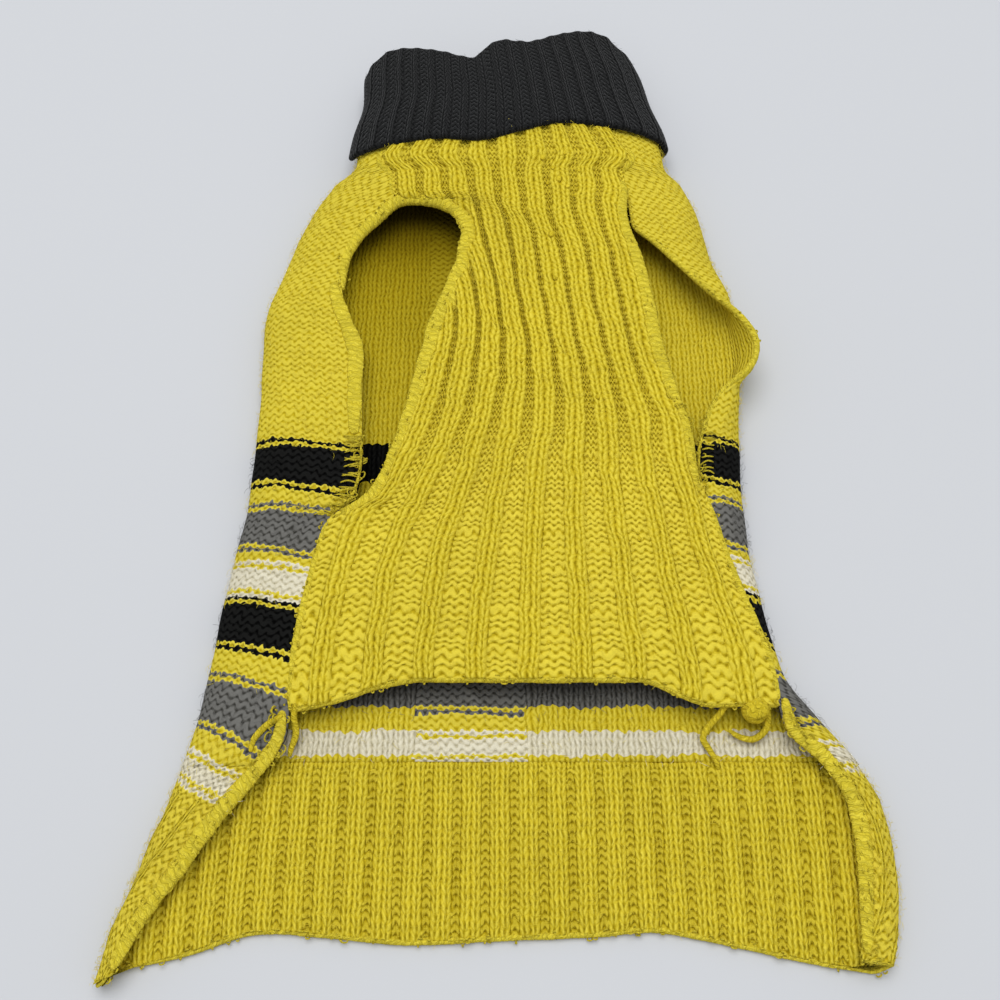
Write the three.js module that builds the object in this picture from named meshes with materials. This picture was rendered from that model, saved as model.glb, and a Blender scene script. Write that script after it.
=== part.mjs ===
// A knitted dog sweater, turned inside out and laid on its back with the belly panel up.
// Millimetres. X is across the garment, +Y runs from the tail hem to the collar, Z is up
// from the table. Four knitted pieces: the back panel, whose two flanks come round over
// the top, its ribbed tail band, the ribbed belly panel and the turned-down ribbed collar.
import * as THREE from 'three';

// Cloth
const WALL = 2.6; // thickness of the plain knit
const COLLAR_WALL = 2.8; // thickness of one collar layer
const SEAM_GAP = 0.4; // between two pieces that are sewn together
const BAND_GAP = 0.7; // between the back and its tail band, whose walls turn at the folds
const LAYER_GAP = 0.8; // air between the collar's two layers

// Ribs
const BELLY_WALES = 55; // knitting columns across the belly panel
const BELLY_RIB = { pitch: 6, first: 3.5, count: 9, height: 1.5 }; // pitch and first in wales
const BELLY_RIB_FLAT = { closed: 0.72, open: 0.42, side: 0.3 }; // parts of half a pitch
const BELLY_RIB_COLUMNS = [-0.5, -0.3, -0.16, 0.16, 0.3]; // parts of a pitch from a rib's middle
const BELLY_MARGIN = 0.3; // wales from the belly's edge to its next mesh column
const HEM_RIB = { count: 29, height: 1.1 };
const COLLAR_RIB = { count: 38, height: 0.9 };
const HEM_STEPS = 4; // mesh columns for each hem rib
const COLLAR_STEPS = 4; // mesh columns for each collar rib
const BAND_HALF = (HEM_RIB.count * HEM_STEPS) / 2; // mesh columns of half the tail band
const BAND_FINE = 60; // steps by which the band's length is measured
const BACK_FLOOR_COLUMNS = 6; // mesh columns across the back's flat floor

// Lengths along Y
const NECK_Y = 214; // seam between the body and the collar, under the turned-down part
const RIB_START_Y = -122; // where the plain back ends and its tail band starts
const HEM_Y = -190; // tail hem at the middle

// The box is centred on the origin by this shift of everything drawn below.
const CENTRE = { x: 1.2, y: 35.9 };

// A table is a list of named columns and a row of numbers for each section.
function table(columns, rows) {
  return rows.map((row) => Object.fromEntries(columns.map((name, i) => [name, row[i]])));
}

// Sections of the back's left and right flank, from neck to hem. y is the row's place at
// the middle of the back. fold is the outermost point of the cross-section; the floor
// starts floorIn inside it and the crest of the flank lies crestIn inside it. edge is the
// cut edge of the panel, at the belly seam, the armhole or the open tail.
const FLANK_COLUMNS = ['y', 'foldX', 'foldY', 'foldZ', 'floorIn', 'crestIn', 'crestZ', 'edgeX', 'edgeY', 'edgeZ'];
const LEFT_FLANK = table(FLANK_COLUMNS, [
  [214, -71.0, 214, 14.5, 13, 7.5, 21.5, -58.5, 214, 24.2],
  [192, -78.0, 192, 12.5, 12, 8.5, 19.0, -57.0, 192, 21.5],
  [178, -86.0, 178, 10.0, 10, 9, 16.5, -55.5, 178, 19.5],
  [166, -92.5, 166, 8.5, 9, 9, 15.5, -53.8, 166.5, 18.0],
  [158, -96.0, 158, 8.0, 8.5, 9, 15.0, -56.0, 160.5, 17.0],
  [150, -99.2, 150.5, 7.5, 8, 9, 15.0, -61.5, 153.5, 16.5],
  [141, -102.2, 142, 7.5, 8, 9, 14.8, -69.0, 145.5, 16.2],
  [131, -104.7, 131.5, 7.2, 8, 9, 14.6, -75.0, 134.5, 16.0],
  [119, -108.0, 119, 7.2, 8, 8.5, 14.6, -78.0, 119.5, 16.0],
  [104, -112.5, 104, 7.2, 8, 8.5, 14.5, -76.3, 104, 15.6],
  [88, -114.2, 88, 7.0, 7.8, 8.5, 14.3, -70.5, 88, 15.0],
  [73, -113.6, 73, 7.0, 7.6, 8.5, 14.0, -65.2, 73, 14.6],
  [58, -112.8, 58, 6.8, 7.5, 8.5, 13.6, -64.5, 58, 14.2],
  [44, -112.0, 44, 6.8, 7.5, 8.5, 13.4, -64.0, 44, 14.0],
  [28, -111.7, 28, 6.8, 7.5, 8.5, 13.4, -63.2, 28, 14.0],
  [10, -112.0, 10, 6.8, 7.5, 8.5, 13.4, -62.0, 10, 14.0],
  [-6, -112.6, -6, 6.8, 7.5, 8.5, 13.4, -65.5, -7, 14.0],
  [-16, -113.6, -16, 6.8, 7.5, 8.5, 13.4, -73.5, -15.5, 14.2],
  [-35, -116.0, -35, 6.8, 7.5, 8.5, 13.4, -79.0, -34, 14.4],
  [-55, -118.3, -55, 6.6, 7.2, 8, 13.0, -82.3, -54, 14.2],
  [-75, -120.2, -75, 6.4, 7, 7.5, 12.6, -85.0, -74, 13.6],
  [-90, -121.5, -90.5, 6.2, 6.8, 7.2, 12.2, -86.0, -90, 13.0],
  [-103, -123.2, -104.5, 6.0, 6.6, 7, 12.0, -86.0, -103.5, 12.2],
  [-113, -125.6, -115.5, 5.8, 6.4, 6.8, 11.6, -87.0, -115.5, 11.4],
  [-122, -128.3, -126.5, 5.6, 6.2, 6.5, 11.2, -93.5, -126.5, 11.0],
  [-135, -132.6, -142.5, 5.6, 6, 6.2, 11.0, -104.5, -140.5, 10.6],
  [-148, -137.2, -158.0, 5.6, 6, 6, 10.9, -114.5, -154.5, 10.2],
  [-162, -142.4, -174.0, 5.6, 5.8, 5.8, 10.8, -122.8, -167.5, 9.8],
  [-175, -146.6, -188.5, 5.5, 5.6, 5.6, 10.7, -132.0, -180.0, 9.4],
  [-190, -151.0, -207.0, 5.6, 5.8, 5.6, 11.0, -143.5, -204.0, 9.6],
]);
const RIGHT_FLANK = table(FLANK_COLUMNS, [
  [214, 81.0, 214, 14.5, 13, 6.5, 21.5, 62.0, 214, 24.6],
  [192, 87.0, 192, 12.5, 13, 8.5, 19.2, 62.0, 192, 22.0],
  [178, 93.5, 178, 10.0, 10.5, 9.5, 17.0, 62.5, 178, 20.5],
  [166, 98.0, 166, 9.0, 9.5, 9.5, 16.5, 64.5, 166, 19.5],
  [158, 100.5, 158, 9.0, 9.5, 9, 16.5, 66.0, 158, 19.2],
  [150, 102.0, 150, 9.0, 9.5, 8.5, 16.8, 66.5, 150.5, 19.2],
  [141, 103.2, 141, 9.0, 9.5, 8, 17.2, 67.5, 144.0, 19.5],
  [131, 104.6, 131, 9.0, 9.5, 7, 17.6, 75.5, 136.0, 20.0],
  [119, 107.2, 119.5, 9.0, 9.5, 4, 18.0, 87.0, 121.5, 21.0],
  [104, 110.8, 104, 8.5, 10, 1, 17.5, 100.5, 104.0, 22.0],
  [88, 112.5, 88, 7.5, 14, -1.5, 14.5, 114.0, 88.5, 22.5],
  [73, 113.0, 73, 6.0, 16, -4, 13.5, 121.0, 72.0, 22.5],
  [58, 111.5, 58, 6.5, 14, -1.5, 14.0, 116.5, 57.5, 21.0],
  [44, 110.6, 44, 8.0, 9, 3, 16.5, 102.0, 45.5, 19.0],
  [28, 110.0, 28, 8.0, 8.5, 7, 16.0, 93.5, 28.5, 18.2],
  [10, 109.0, 10, 7.5, 8, 7, 15.2, 89.6, 10, 17.2],
  [-6, 108.5, -6, 7.0, 7.5, 7, 14.6, 90.8, -6, 16.6],
  [-16, 108.5, -16, 7.0, 7.5, 6.5, 14.4, 93.2, -15.5, 16.2],
  [-35, 109.2, -35, 7.0, 7.5, 6, 14.0, 97.0, -34, 16.0],
  [-55, 112.0, -55, 6.8, 7.2, 4, 13.2, 102.8, -54, 15.4],
  [-75, 115.0, -75, 6.4, 7, 2, 11.6, 109.6, -74, 14.2],
  [-90, 119.5, -90.5, 6.2, 7, 2.5, 11.4, 112.8, -90, 13.4],
  [-103, 129.0, -104.0, 6.0, 6.8, 6, 11.6, 114.0, -101.5, 12.2],
  [-113, 138.0, -115.0, 5.6, 6.4, 6.5, 11.0, 117.0, -112.0, 10.6],
  [-122, 144.5, -124.5, 5.6, 6.2, 6.2, 10.8, 127.0, -121.0, 10.0],
  [-135, 150.5, -139.5, 5.6, 6, 6, 10.7, 136.0, -135.0, 9.6],
  [-148, 153.2, -154.5, 5.5, 6, 6, 10.6, 138.6, -149.5, 9.4],
  [-162, 153.4, -170.0, 5.5, 6, 6, 10.5, 138.4, -164.0, 9.2],
  [-175, 151.5, -184.0, 5.4, 5.8, 5.8, 10.4, 136.8, -178.5, 9.0],
  [-190, 147.2, -200.5, 5.3, 5.6, 5.6, 10.2, 134.6, -199.0, 8.8],
]);

// The tail hem waves along Y: how far it lies from HEM_Y at each x, to the band's start.
const HEM_WAVE = table(['x', 'y'], [
  [-145, -11], [-120, -6], [-94, 2], [-66, 1], [-36, -1.5], [0, 0],
  [39, 1.5], [59, 3], [88, -2], [116, -8], [140, -12],
]);

// Where the body passes into the collar, its walls draw in to lie inside the turned-down
// layer, and its underside leaves the table.
const NECK_TUCK = { from: 178, to: 189, depth: COLLAR_WALL + LAYER_GAP + 1.6 };
const NECK_LIFT = { from: 166, to: 189, height: COLLAR_WALL + LAYER_GAP };

// Rows of the belly panel, from neck to hem. left and right are its edges, leftWale the
// knitting column at the left edge (the armhole cuts the first two ribs away), midX the
// middle rib, crown how far the middle stands above its edges.
const BELLY_COLUMNS = ['y', 'leftX', 'leftY', 'leftZ', 'leftWale', 'midX', 'rightX', 'rightY', 'rightZ', 'crown', 'open'];
const BELLY_ROWS = table(BELLY_COLUMNS, [
  [214, -58.5, 214, 24.2, 0, 3.0, 62.0, 214, 24.6, 1.2, 0.35],
  [192, -57.0, 192, 21.5, 0, 3.8, 62.0, 192, 22.0, 1.8, 0.35],
  [178, -55.5, 178, 19.5, 0, 4.2, 62.5, 178, 20.5, 2.2, 0.3],
  [166, -53.8, 166.5, 18.0, 0, 4.8, 64.5, 166, 19.5, 2.6, 0.25],
  [158, -45.0, 165.0, 18.0, 3, 5.4, 63.0, 158, 20.0, 2.6, 0.22],
  [150, -34.0, 163.0, 18.6, 8, 6.4, 62.2, 150, 20.0, 2.8, 0.2],
  [141, -23.5, 158.0, 19.4, 13, 8.0, 63.0, 141, 19.6, 3.0, 0.2],
  [131, -16.8, 147.0, 19.6, 15, 10.2, 65.2, 131, 19.2, 3.2, 0.18],
  [119, -15.6, 133.5, 19.4, 14.5, 12.0, 68.0, 119, 18.8, 3.2, 0.15],
  [104, -20.5, 115.0, 19.0, 9, 14.0, 70.6, 104, 18.4, 3.2, 0.12],
  [88, -27.0, 94.5, 18.6, 3, 16.4, 72.6, 88, 18.0, 3.4, 0.12],
  [73, -32.4, 75.5, 18.2, 0, 18.4, 74.2, 73, 17.8, 3.6, 0.14],
  [58, -36.6, 58.0, 17.8, 0, 19.6, 77.2, 58, 17.6, 3.8, 0.18],
  [44, -40.0, 42.5, 17.4, 0, 20.0, 81.0, 44, 17.4, 4.0, 0.24],
  [28, -44.6, 26.0, 17.0, 0, 19.4, 86.0, 28, 17.2, 4.2, 0.3],
  [10, -51.5, 6.5, 16.4, 0, 17.0, 87.6, 10, 17.0, 4.4, 0.4],
  [-6, -58.5, -9.0, 15.6, 0, 15.6, 90.8, -6, 16.6, 4.6, 0.48],
  [-16, -73.5, -15.5, 14.2, 0, 14.8, 93.2, -15.5, 16.2, 4.6, 0.54],
  [-35, -79.0, -34, 14.4, 0, 13.6, 97.0, -34, 16.0, 4.2, 0.64],
  [-55, -82.3, -54, 14.2, 0, 12.6, 102.8, -54, 15.4, 3.8, 0.74],
  [-72, -85.0, -74, 13.6, 0, 12.0, 109.6, -74, 14.2, 3.4, 0.82],
  [-83, -86.0, -90, 13.0, 0, 11.8, 112.8, -90, 13.4, 3.0, 0.86],
  [-91, -86.0, -103.5, 12.2, 0, 11.6, 114.0, -101.5, 12.2, 2.6, 0.9],
]);
const BELLY_HEM_Y = BELLY_ROWS[BELLY_ROWS.length - 1].y;
const BELLY_BOW_START_Y = -50; // from here to the hem the rows bend down at their ends
const BELLY_BOW = { armhole: 0.5, hem: 0.28, hemLevel: 0.13 }; // parts of the row's width
const EDGE_BAND = 2.6; // wales beside an armhole that lie flat under its overlocking
const FIRST_ARMHOLE_ROW = 3; // the last row that is sewn at the shoulder
const LEFT_SEAM_ROW = 17; // the first row that is sewn at the left side
const RIGHT_SEAM_ROW = 16; // the first row that is sewn at the right side
const BELLY_FLAT_EDGE = 14; // wales beside the left edge that take up the armhole's cut

// The collar's outer loop at each y: its two sides and its height.
const COLLAR_LOOP = table(['y', 'left', 'right', 'height'], [
  [190, -79, 89, 30], [208, -77, 86.5, 30], [229, -73, 80.5, 29], [250, -73.5, 76.5, 28],
  [268, -72, 71, 27], [288, -68, 67, 26],
]);
// The turned-down edge and the top fold along x, with the step beside the collar's seam.
const COLLAR_LOW = table(['x', 'y'], [
  [-78, 190], [-68, 192], [-54, 194.5], [-33, 196.5], [-10, 195], [10, 201], [31, 207], [52, 206],
  [70, 203.5], [88, 199],
]);
const COLLAR_TOP = table(['x', 'y'], [
  [-71, 254], [-63, 264], [-52, 266], [-33, 262], [-15, 256], [-8, 264], [0, 270], [16, 269],
  [33, 275.5], [49, 279.5], [60, 277], [68, 266],
]);
const COLLAR_BACK_LOW = 200; // the turned-down edge on the table side
const COLLAR_POWER = 2.7; // squareness of the collar's flattened loop
const COLLAR_SINK = 0.7; // how much of the loop's round underside is flattened
const COLLAR_FRONT = { from: 0.35, to: 0.65 }; // parts of its height where its back becomes its front
const ROUNDING = 0.3; // part of the top fold's radius cut off its two corners

const YELLOW = 0xd9c531;
const BLACK = 0x1f2022;

// Cubic through the rows of a table, read at one value of its first column.
function read(rows, key, at, column) {
  const last = rows.length - 1;
  const rising = rows[last][key] > rows[0][key];
  let i = 0;
  while (i < last - 1 && (rising ? at > rows[i + 1][key] : at < rows[i + 1][key])) i += 1;
  const slope = (j) => {
    const a = rows[Math.max(j - 1, 0)];
    const b = rows[Math.min(j + 1, last)];
    return (b[column] - a[column]) / (b[key] - a[key]);
  };
  const span = rows[i + 1][key] - rows[i][key];
  const t = THREE.MathUtils.clamp((at - rows[i][key]) / span, 0, 1);
  const t2 = t * t;
  const t3 = t2 * t;
  return (2 * t3 - 3 * t2 + 1) * rows[i][column] + (t3 - 2 * t2 + t) * span * slope(i)
    + (3 * t2 - 2 * t3) * rows[i + 1][column] + (t3 - t2) * span * slope(i + 1);
}

// An outline's y at one x, held at its end values beyond its ends.
function readWithin(rows, x) {
  return read(rows, 'x', THREE.MathUtils.clamp(x, rows[0].x, rows[rows.length - 1].x), 'y');
}

// Rises from 0 to 1 between two values, or falls back where from is the larger.
function smooth(from, to, at) {
  const t = THREE.MathUtils.clamp((at - from) / (to - from), 0, 1);
  return t * t * (3 - 2 * t);
}

// One flank as a curve from the floor up round the fold to the panel's edge.
function flankCurve(row, side) {
  const lift = NECK_LIFT.height * smooth(NECK_LIFT.from, NECK_LIFT.to, row.y);
  const floorX = row.foldX - side * row.floorIn;
  const innerX = floorX - side * row.floorIn;
  const crestY = (row.foldY + row.edgeY) / 2;
  return new THREE.CatmullRomCurve3([
    new THREE.Vector3(innerX, row.y + hemShift(innerX, row.y), lift),
    new THREE.Vector3(floorX, row.y + hemShift(floorX, row.y), lift),
    new THREE.Vector3(row.foldX, row.foldY, row.foldZ),
    new THREE.Vector3(row.foldX - side * row.crestIn, crestY, row.crestZ),
    new THREE.Vector3(row.edgeX, row.edgeY, row.edgeZ),
  ], false, 'centripetal');
}

// Fractions of the flank curve at which the mesh has columns, floor to edge.
const FLANK_STOPS = [0.14, 0.26, 0.35, 0.43, 0.5, 0.57, 0.65, 0.74, 0.87, 1];

function hemShift(x, y) {
  return readWithin(HEM_WAVE, x) * smooth(RIB_START_Y, HEM_Y, y);
}

// One row of the back's outer points: left edge, left fold, floor, right fold, right edge.
function backRow(left, right) {
  const leftCurve = flankCurve(left, -1);
  const rightCurve = flankCurve(right, 1);
  const leftPoints = FLANK_STOPS.map((t) => leftCurve.getPoint(t)).reverse();
  const rightPoints = FLANK_STOPS.map((t) => rightCurve.getPoint(t));
  const a = leftCurve.getPoint(0);
  const b = rightCurve.getPoint(0);
  const lift = NECK_LIFT.height * smooth(NECK_LIFT.from, NECK_LIFT.to, left.y);
  const floor = [];
  for (let i = 0; i <= BACK_FLOOR_COLUMNS; i += 1) {
    const x = THREE.MathUtils.lerp(a.x, b.x, i / BACK_FLOOR_COLUMNS);
    floor.push(new THREE.Vector3(x, left.y + hemShift(x, left.y), lift));
  }
  const points = [...leftPoints, ...floor, ...rightPoints];
  points.forEach((point) => {
    tuck(point);
    point.z = Math.max(point.z, lift);
  });
  return points;
}

// Draws a point of the body in to the collar's loop, less the turned-down layer.
function tuck(point) {
  const pull = smooth(NECK_TUCK.from, NECK_TUCK.to, point.y);
  if (pull === 0) return;
  const { middleX, middleZ, halfWidth, halfHeight } = collarShape(point.y);
  const x = (point.x - middleX) / (halfWidth - NECK_TUCK.depth);
  const z = (point.z - middleZ) / (halfHeight - NECK_TUCK.depth);
  const reach = (Math.abs(x) ** COLLAR_POWER + Math.abs(z) ** COLLAR_POWER) ** (1 / COLLAR_POWER);
  const scale = THREE.MathUtils.lerp(1, 1 / reach, pull);
  point.x = middleX + (point.x - middleX) * scale;
  point.z = middleZ + (point.z - middleZ) * scale;
}

// Unit normals of a grid of points, to the left of a row when seen along the columns.
function gridNormals(grid) {
  const at = (r, c) => grid[THREE.MathUtils.clamp(r, 0, grid.length - 1)][
    THREE.MathUtils.clamp(c, 0, grid[0].length - 1)];
  return grid.map((row, r) => row.map((_, c) => {
    const along = new THREE.Vector3().subVectors(at(r, c + 1), at(r, c - 1));
    const down = new THREE.Vector3().subVectors(at(r + 1, c), at(r - 1, c));
    return along.cross(down).normalize();
  }));
}

function moved(grid, normals, distance) {
  return grid.map((row, r) => row.map((point, c) => {
    const step = typeof distance === 'function' ? distance(r, c) : distance;
    return point.clone().addScaledVector(normals[r][c], step);
  }));
}

// A closed wall between two grids of the same size.
function wallGeometry(outer, inner) {
  const rows = outer.length;
  const columns = outer[0].length;
  const positions = [];
  [outer, inner].forEach((grid) => grid.flat().forEach((p) => positions.push(p.x, p.y, p.z)));
  const top = (r, c) => r * columns + c;
  const under = (r, c) => rows * columns + r * columns + c;
  const faces = [];
  const quad = (a, b, c, d) => faces.push(a, b, c, a, c, d);
  for (let r = 0; r < rows - 1; r += 1) {
    for (let c = 0; c < columns - 1; c += 1) {
      quad(top(r, c), top(r + 1, c), top(r + 1, c + 1), top(r, c + 1));
      quad(under(r, c), under(r, c + 1), under(r + 1, c + 1), under(r + 1, c));
    }
  }
  for (let c = 0; c < columns - 1; c += 1) {
    quad(top(0, c), top(0, c + 1), under(0, c + 1), under(0, c));
    quad(top(rows - 1, c), under(rows - 1, c), under(rows - 1, c + 1), top(rows - 1, c + 1));
  }
  for (let r = 0; r < rows - 1; r += 1) {
    quad(top(r, 0), under(r, 0), under(r + 1, 0), top(r + 1, 0));
    quad(top(r, columns - 1), top(r + 1, columns - 1), under(r + 1, columns - 1), under(r, columns - 1));
  }
  return closedGeometry(positions, faces);
}

// A geometry whose faces point outwards, whichever way its grids were listed.
function closedGeometry(positions, faces) {
  let volume = 0;
  const point = (i) => new THREE.Vector3(...positions.slice(3 * i, 3 * i + 3));
  for (let i = 0; i < faces.length; i += 3) {
    const [a, b, c] = [point(faces[i]), point(faces[i + 1]), point(faces[i + 2])];
    volume += a.dot(b.cross(c));
  }
  if (volume < 0) {
    for (let i = 0; i < faces.length; i += 3) [faces[i], faces[i + 1]] = [faces[i + 1], faces[i]];
  }
  const geometry = new THREE.BufferGeometry();
  geometry.setAttribute('position', new THREE.Float32BufferAttribute(positions, 3));
  geometry.setIndex(faces);
  geometry.translate(-CENTRE.x, -CENTRE.y, 0);
  geometry.computeVertexNormals();
  return geometry;
}

function clothMesh(name, geometry, color) {
  const material = new THREE.MeshStandardMaterial({ color, roughness: 0.95, metalness: 0 });
  const mesh = new THREE.Mesh(geometry, material);
  mesh.name = name;
  return mesh;
}

const RIB_START_ROW = LEFT_FLANK.findIndex((row) => row.y === RIB_START_Y);

// The plain back panel, from the neck seam to the start of its tail band.
function backPanel() {
  const outer = LEFT_FLANK.map((left, i) => backRow(left, RIGHT_FLANK[i]));
  const normals = gridNormals(outer);
  normals[RIB_START_ROW].forEach((normal) => normal.setY(0).normalize());
  const inner = moved(outer, normals, inward(normals) * WALL);
  const end = RIB_START_ROW + 1;
  return { outer: outer.slice(0, end), inner: inner.slice(0, end), normals: normals.slice(0, end) };
}

// The sign that turns a back grid's normals towards the hollow: up over the floor.
function inward(normals) {
  const middle = normals[Math.floor(normals.length / 2)];
  return middle[Math.floor(middle.length / 2)].z > 0 ? 1 : -1;
}

// Where to cut a row of points into equal lengths: a point's number and the part beyond it.
function evenStops(points, count) {
  const lengths = [0];
  for (let i = 1; i < points.length; i += 1) {
    lengths.push(lengths[i - 1] + points[i].distanceTo(points[i - 1]));
  }
  const stops = [];
  let i = 0;
  for (let k = 0; k <= count; k += 1) {
    const target = (lengths[lengths.length - 1] * k) / count;
    while (i < points.length - 2 && lengths[i + 1] < target) i += 1;
    stops.push([i, (target - lengths[i]) / (lengths[i + 1] - lengths[i])]);
  }
  return stops;
}

function cutAt(points, stops) {
  return stops.map(([i, part]) => points[i].clone().lerp(points[i + 1], part));
}

// One row of the tail band's outer points, at even steps along the cloth, so that a rib
// that lies on the floor at the hem passes round the fold further up.
function bandRow(left, right) {
  const half = (row, side) => {
    const flank = flankCurve(row, side).getPoints(BAND_FINE);
    const floor = [];
    for (let i = 0; i < BAND_FINE; i += 1) {
      const x = (flank[0].x * i) / BAND_FINE;
      floor.push(new THREE.Vector3(x, row.y + hemShift(x, row.y), 0));
    }
    flank.forEach((point) => { point.z = Math.max(point.z, 0); });
    const points = [...floor, ...flank];
    return cutAt(points, evenStops(points, BAND_HALF));
  };
  return [...half(left, -1).reverse(), ...half(right, 1).slice(1)];
}

// The band's first row lies on the faces of the back's last row, a small gap beyond it.
function bandStart(back) {
  const [outer, inner] = [back.outer, back.inner].map((grid) => grid[RIB_START_ROW]);
  const sides = [-1, 1].map((side) => {
    const own = outer.map((_, i) => i).filter((i) => side * outer[i].x > 0);
    if (side < 0) own.reverse();
    const under = [new THREE.Vector3(0, RIB_START_Y, 0), ...own.map((i) => outer[i])];
    const top = [new THREE.Vector3(0, RIB_START_Y, WALL), ...own.map((i) => inner[i])];
    const stops = evenStops(under, BAND_HALF);
    return [cutAt(under, stops), cutAt(top, stops)];
  });
  const [left, right] = sides;
  return [0, 1].map((face) => {
    const row = [...left[face].reverse(), ...right[face].slice(1)];
    row.forEach((point) => { point.y -= BAND_GAP; });
    return row;
  });
}

// The tail band goes on from the back's last row, with ribs on the face that shows.
function hemBand(back) {
  const bandRows = LEFT_FLANK.map((left, i) => [left, RIGHT_FLANK[i]]).slice(RIB_START_ROW);
  const outer = bandRows.map(([left, right]) => bandRow(left, right));
  const normals = gridNormals(outer);
  const sign = inward(normals);
  const inner = moved(outer, normals, (r, c) => {
    const step = c % HEM_STEPS;
    return sign * (WALL + (step === 1 || step === 2 ? HEM_RIB.height : 0));
  });
  [outer[0], inner[0]] = bandStart(back);
  return wallGeometry(outer, inner);
}

// Height of the belly's ribs above its valleys at one wale; open is how far the purl
// valleys are stretched open, from 0 where they close up to 1 where they lie flat.
function bellyRib(wale, open) {
  const { pitch, first, count, height } = BELLY_RIB;
  const nearest = THREE.MathUtils.clamp(Math.round((wale - first) / pitch), 0, count - 1);
  const away = Math.abs(wale - first - nearest * pitch) / (pitch / 2);
  const flat = THREE.MathUtils.lerp(BELLY_RIB_FLAT.closed, BELLY_RIB_FLAT.open, open);
  return height * (1 - smooth(flat, Math.min(flat + BELLY_RIB_FLAT.side, 1), away));
}

// Mesh columns of the belly in wales: five for each rib, two for each margin.
function bellyColumns() {
  const { pitch, first, count } = BELLY_RIB;
  const wales = [0, BELLY_MARGIN];
  for (let i = 0; i < count; i += 1) {
    BELLY_RIB_COLUMNS.forEach((part) => wales.push(first + (i + part) * pitch));
  }
  return [...wales, first + (count - 0.5) * pitch, BELLY_WALES - BELLY_MARGIN, BELLY_WALES];
}

// A wale's place on a row, by the parabola through the two edges and the middle rib.
function walePlace(row, wale) {
  const middle = BELLY_WALES / 2;
  const [a, b, c] = [row.leftWale, middle, BELLY_WALES];
  return row.leftX * ((wale - b) * (wale - c)) / ((a - b) * (a - c))
    + row.midX * ((wale - a) * (wale - c)) / ((b - a) * (b - c))
    + row.rightX * ((wale - a) * (wale - b)) / ((c - a) * (c - b));
}

// One point of the belly's plain surface, and the wale that lies there.
function bellyPoint(row, column) {
  const squeeze = Math.max(1 - column / (2 * BELLY_FLAT_EDGE), 0);
  const wale = column + row.leftWale * squeeze;
  const fromLeft = (wale - row.leftWale) / (BELLY_WALES - row.leftWale);
  const towardsHem = smooth(BELLY_BOW_START_Y, BELLY_HEM_Y, row.y);
  const reach = THREE.MathUtils.lerp(BELLY_BOW.armhole, BELLY_BOW.hem, towardsHem);
  const atLeft = 1 - smooth(0, reach, fromLeft);
  const atRight = smooth(1 - reach, 1 - BELLY_BOW.hemLevel * towardsHem, fromLeft);
  const y = row.y + (row.leftY - row.y) * atLeft + (row.rightY - row.y) * atRight;
  const edge = THREE.MathUtils.lerp(row.leftZ, row.rightZ, fromLeft);
  const z = edge + row.crown * (1 - (2 * fromLeft - 1) ** 4);
  const point = new THREE.Vector3(walePlace(row, wale), y, z);
  tuck(point);
  return { point, wale };
}

// The ribbed belly panel: its plain underside follows the same rows as the back's edges,
// and its edges stand a seam's gap away from the back where the two are sewn together.
function bellyPanel(back) {
  const columns = bellyColumns();
  const last = columns.length - 1;
  const cells = BELLY_ROWS.map((row) => columns.map((column) => bellyPoint(row, column)));
  cells.forEach((row, r) => {
    if (r <= FIRST_ARMHOLE_ROW || r >= LEFT_SEAM_ROW) {
      row[0].point.x += SEAM_GAP;
      squareEdge(back, r, 0);
    }
    if (r <= FIRST_ARMHOLE_ROW || r >= RIGHT_SEAM_ROW) {
      row[last].point.x -= SEAM_GAP;
      squareEdge(back, r, back.outer[r].length - 1);
    }
  });
  const raised = (distance) => cells.map((row, r) => row.map(({ point, wale }) => (
    point.clone().setZ(point.z + distance(wale, BELLY_ROWS[r])))));
  const top = raised((wale, row) => {
    const toEdge = Math.min(wale - row.leftWale, BELLY_WALES - wale);
    return bellyRib(wale, row.open) * smooth(EDGE_BAND / 2, EDGE_BAND, toEdge);
  });
  return wallGeometry(top, raised(() => -WALL));
}

// The back's sewn edge ends straight down, as the belly's does, so the two stay parallel.
function squareEdge(back, r, column) {
  const edge = back.outer[r][column];
  back.inner[r][column] = edge.clone().setZ(edge.z - WALL);
}

// The collar's flattened loop at one y: its middle and half its width and height.
function collarShape(y) {
  const at = THREE.MathUtils.clamp(y, COLLAR_LOOP[0].y, COLLAR_LOOP[COLLAR_LOOP.length - 1].y);
  const left = read(COLLAR_LOOP, 'y', at, 'left');
  const right = read(COLLAR_LOOP, 'y', at, 'right');
  const height = read(COLLAR_LOOP, 'y', at, 'height');
  return {
    middleX: (left + right) / 2,
    middleZ: (height - COLLAR_SINK) / 2,
    halfWidth: (right - left) / 2,
    halfHeight: (height + COLLAR_SINK) / 2,
  };
}

// A point of the collar, depth inside its outer loop: turn runs once round it from the
// right-hand side.
function collarLoop(y, turn, depth = 0) {
  const { middleX, middleZ, halfWidth, halfHeight } = collarShape(y);
  const angle = 2 * Math.PI * turn;
  const bend = (value) => Math.sign(value) * Math.abs(value) ** (2 / COLLAR_POWER);
  const x = middleX + (halfWidth - depth) * bend(Math.cos(angle));
  const z = middleZ + (halfHeight - depth) * bend(Math.sin(angle));
  return new THREE.Vector3(x, y, Math.max(z, 0));
}

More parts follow.
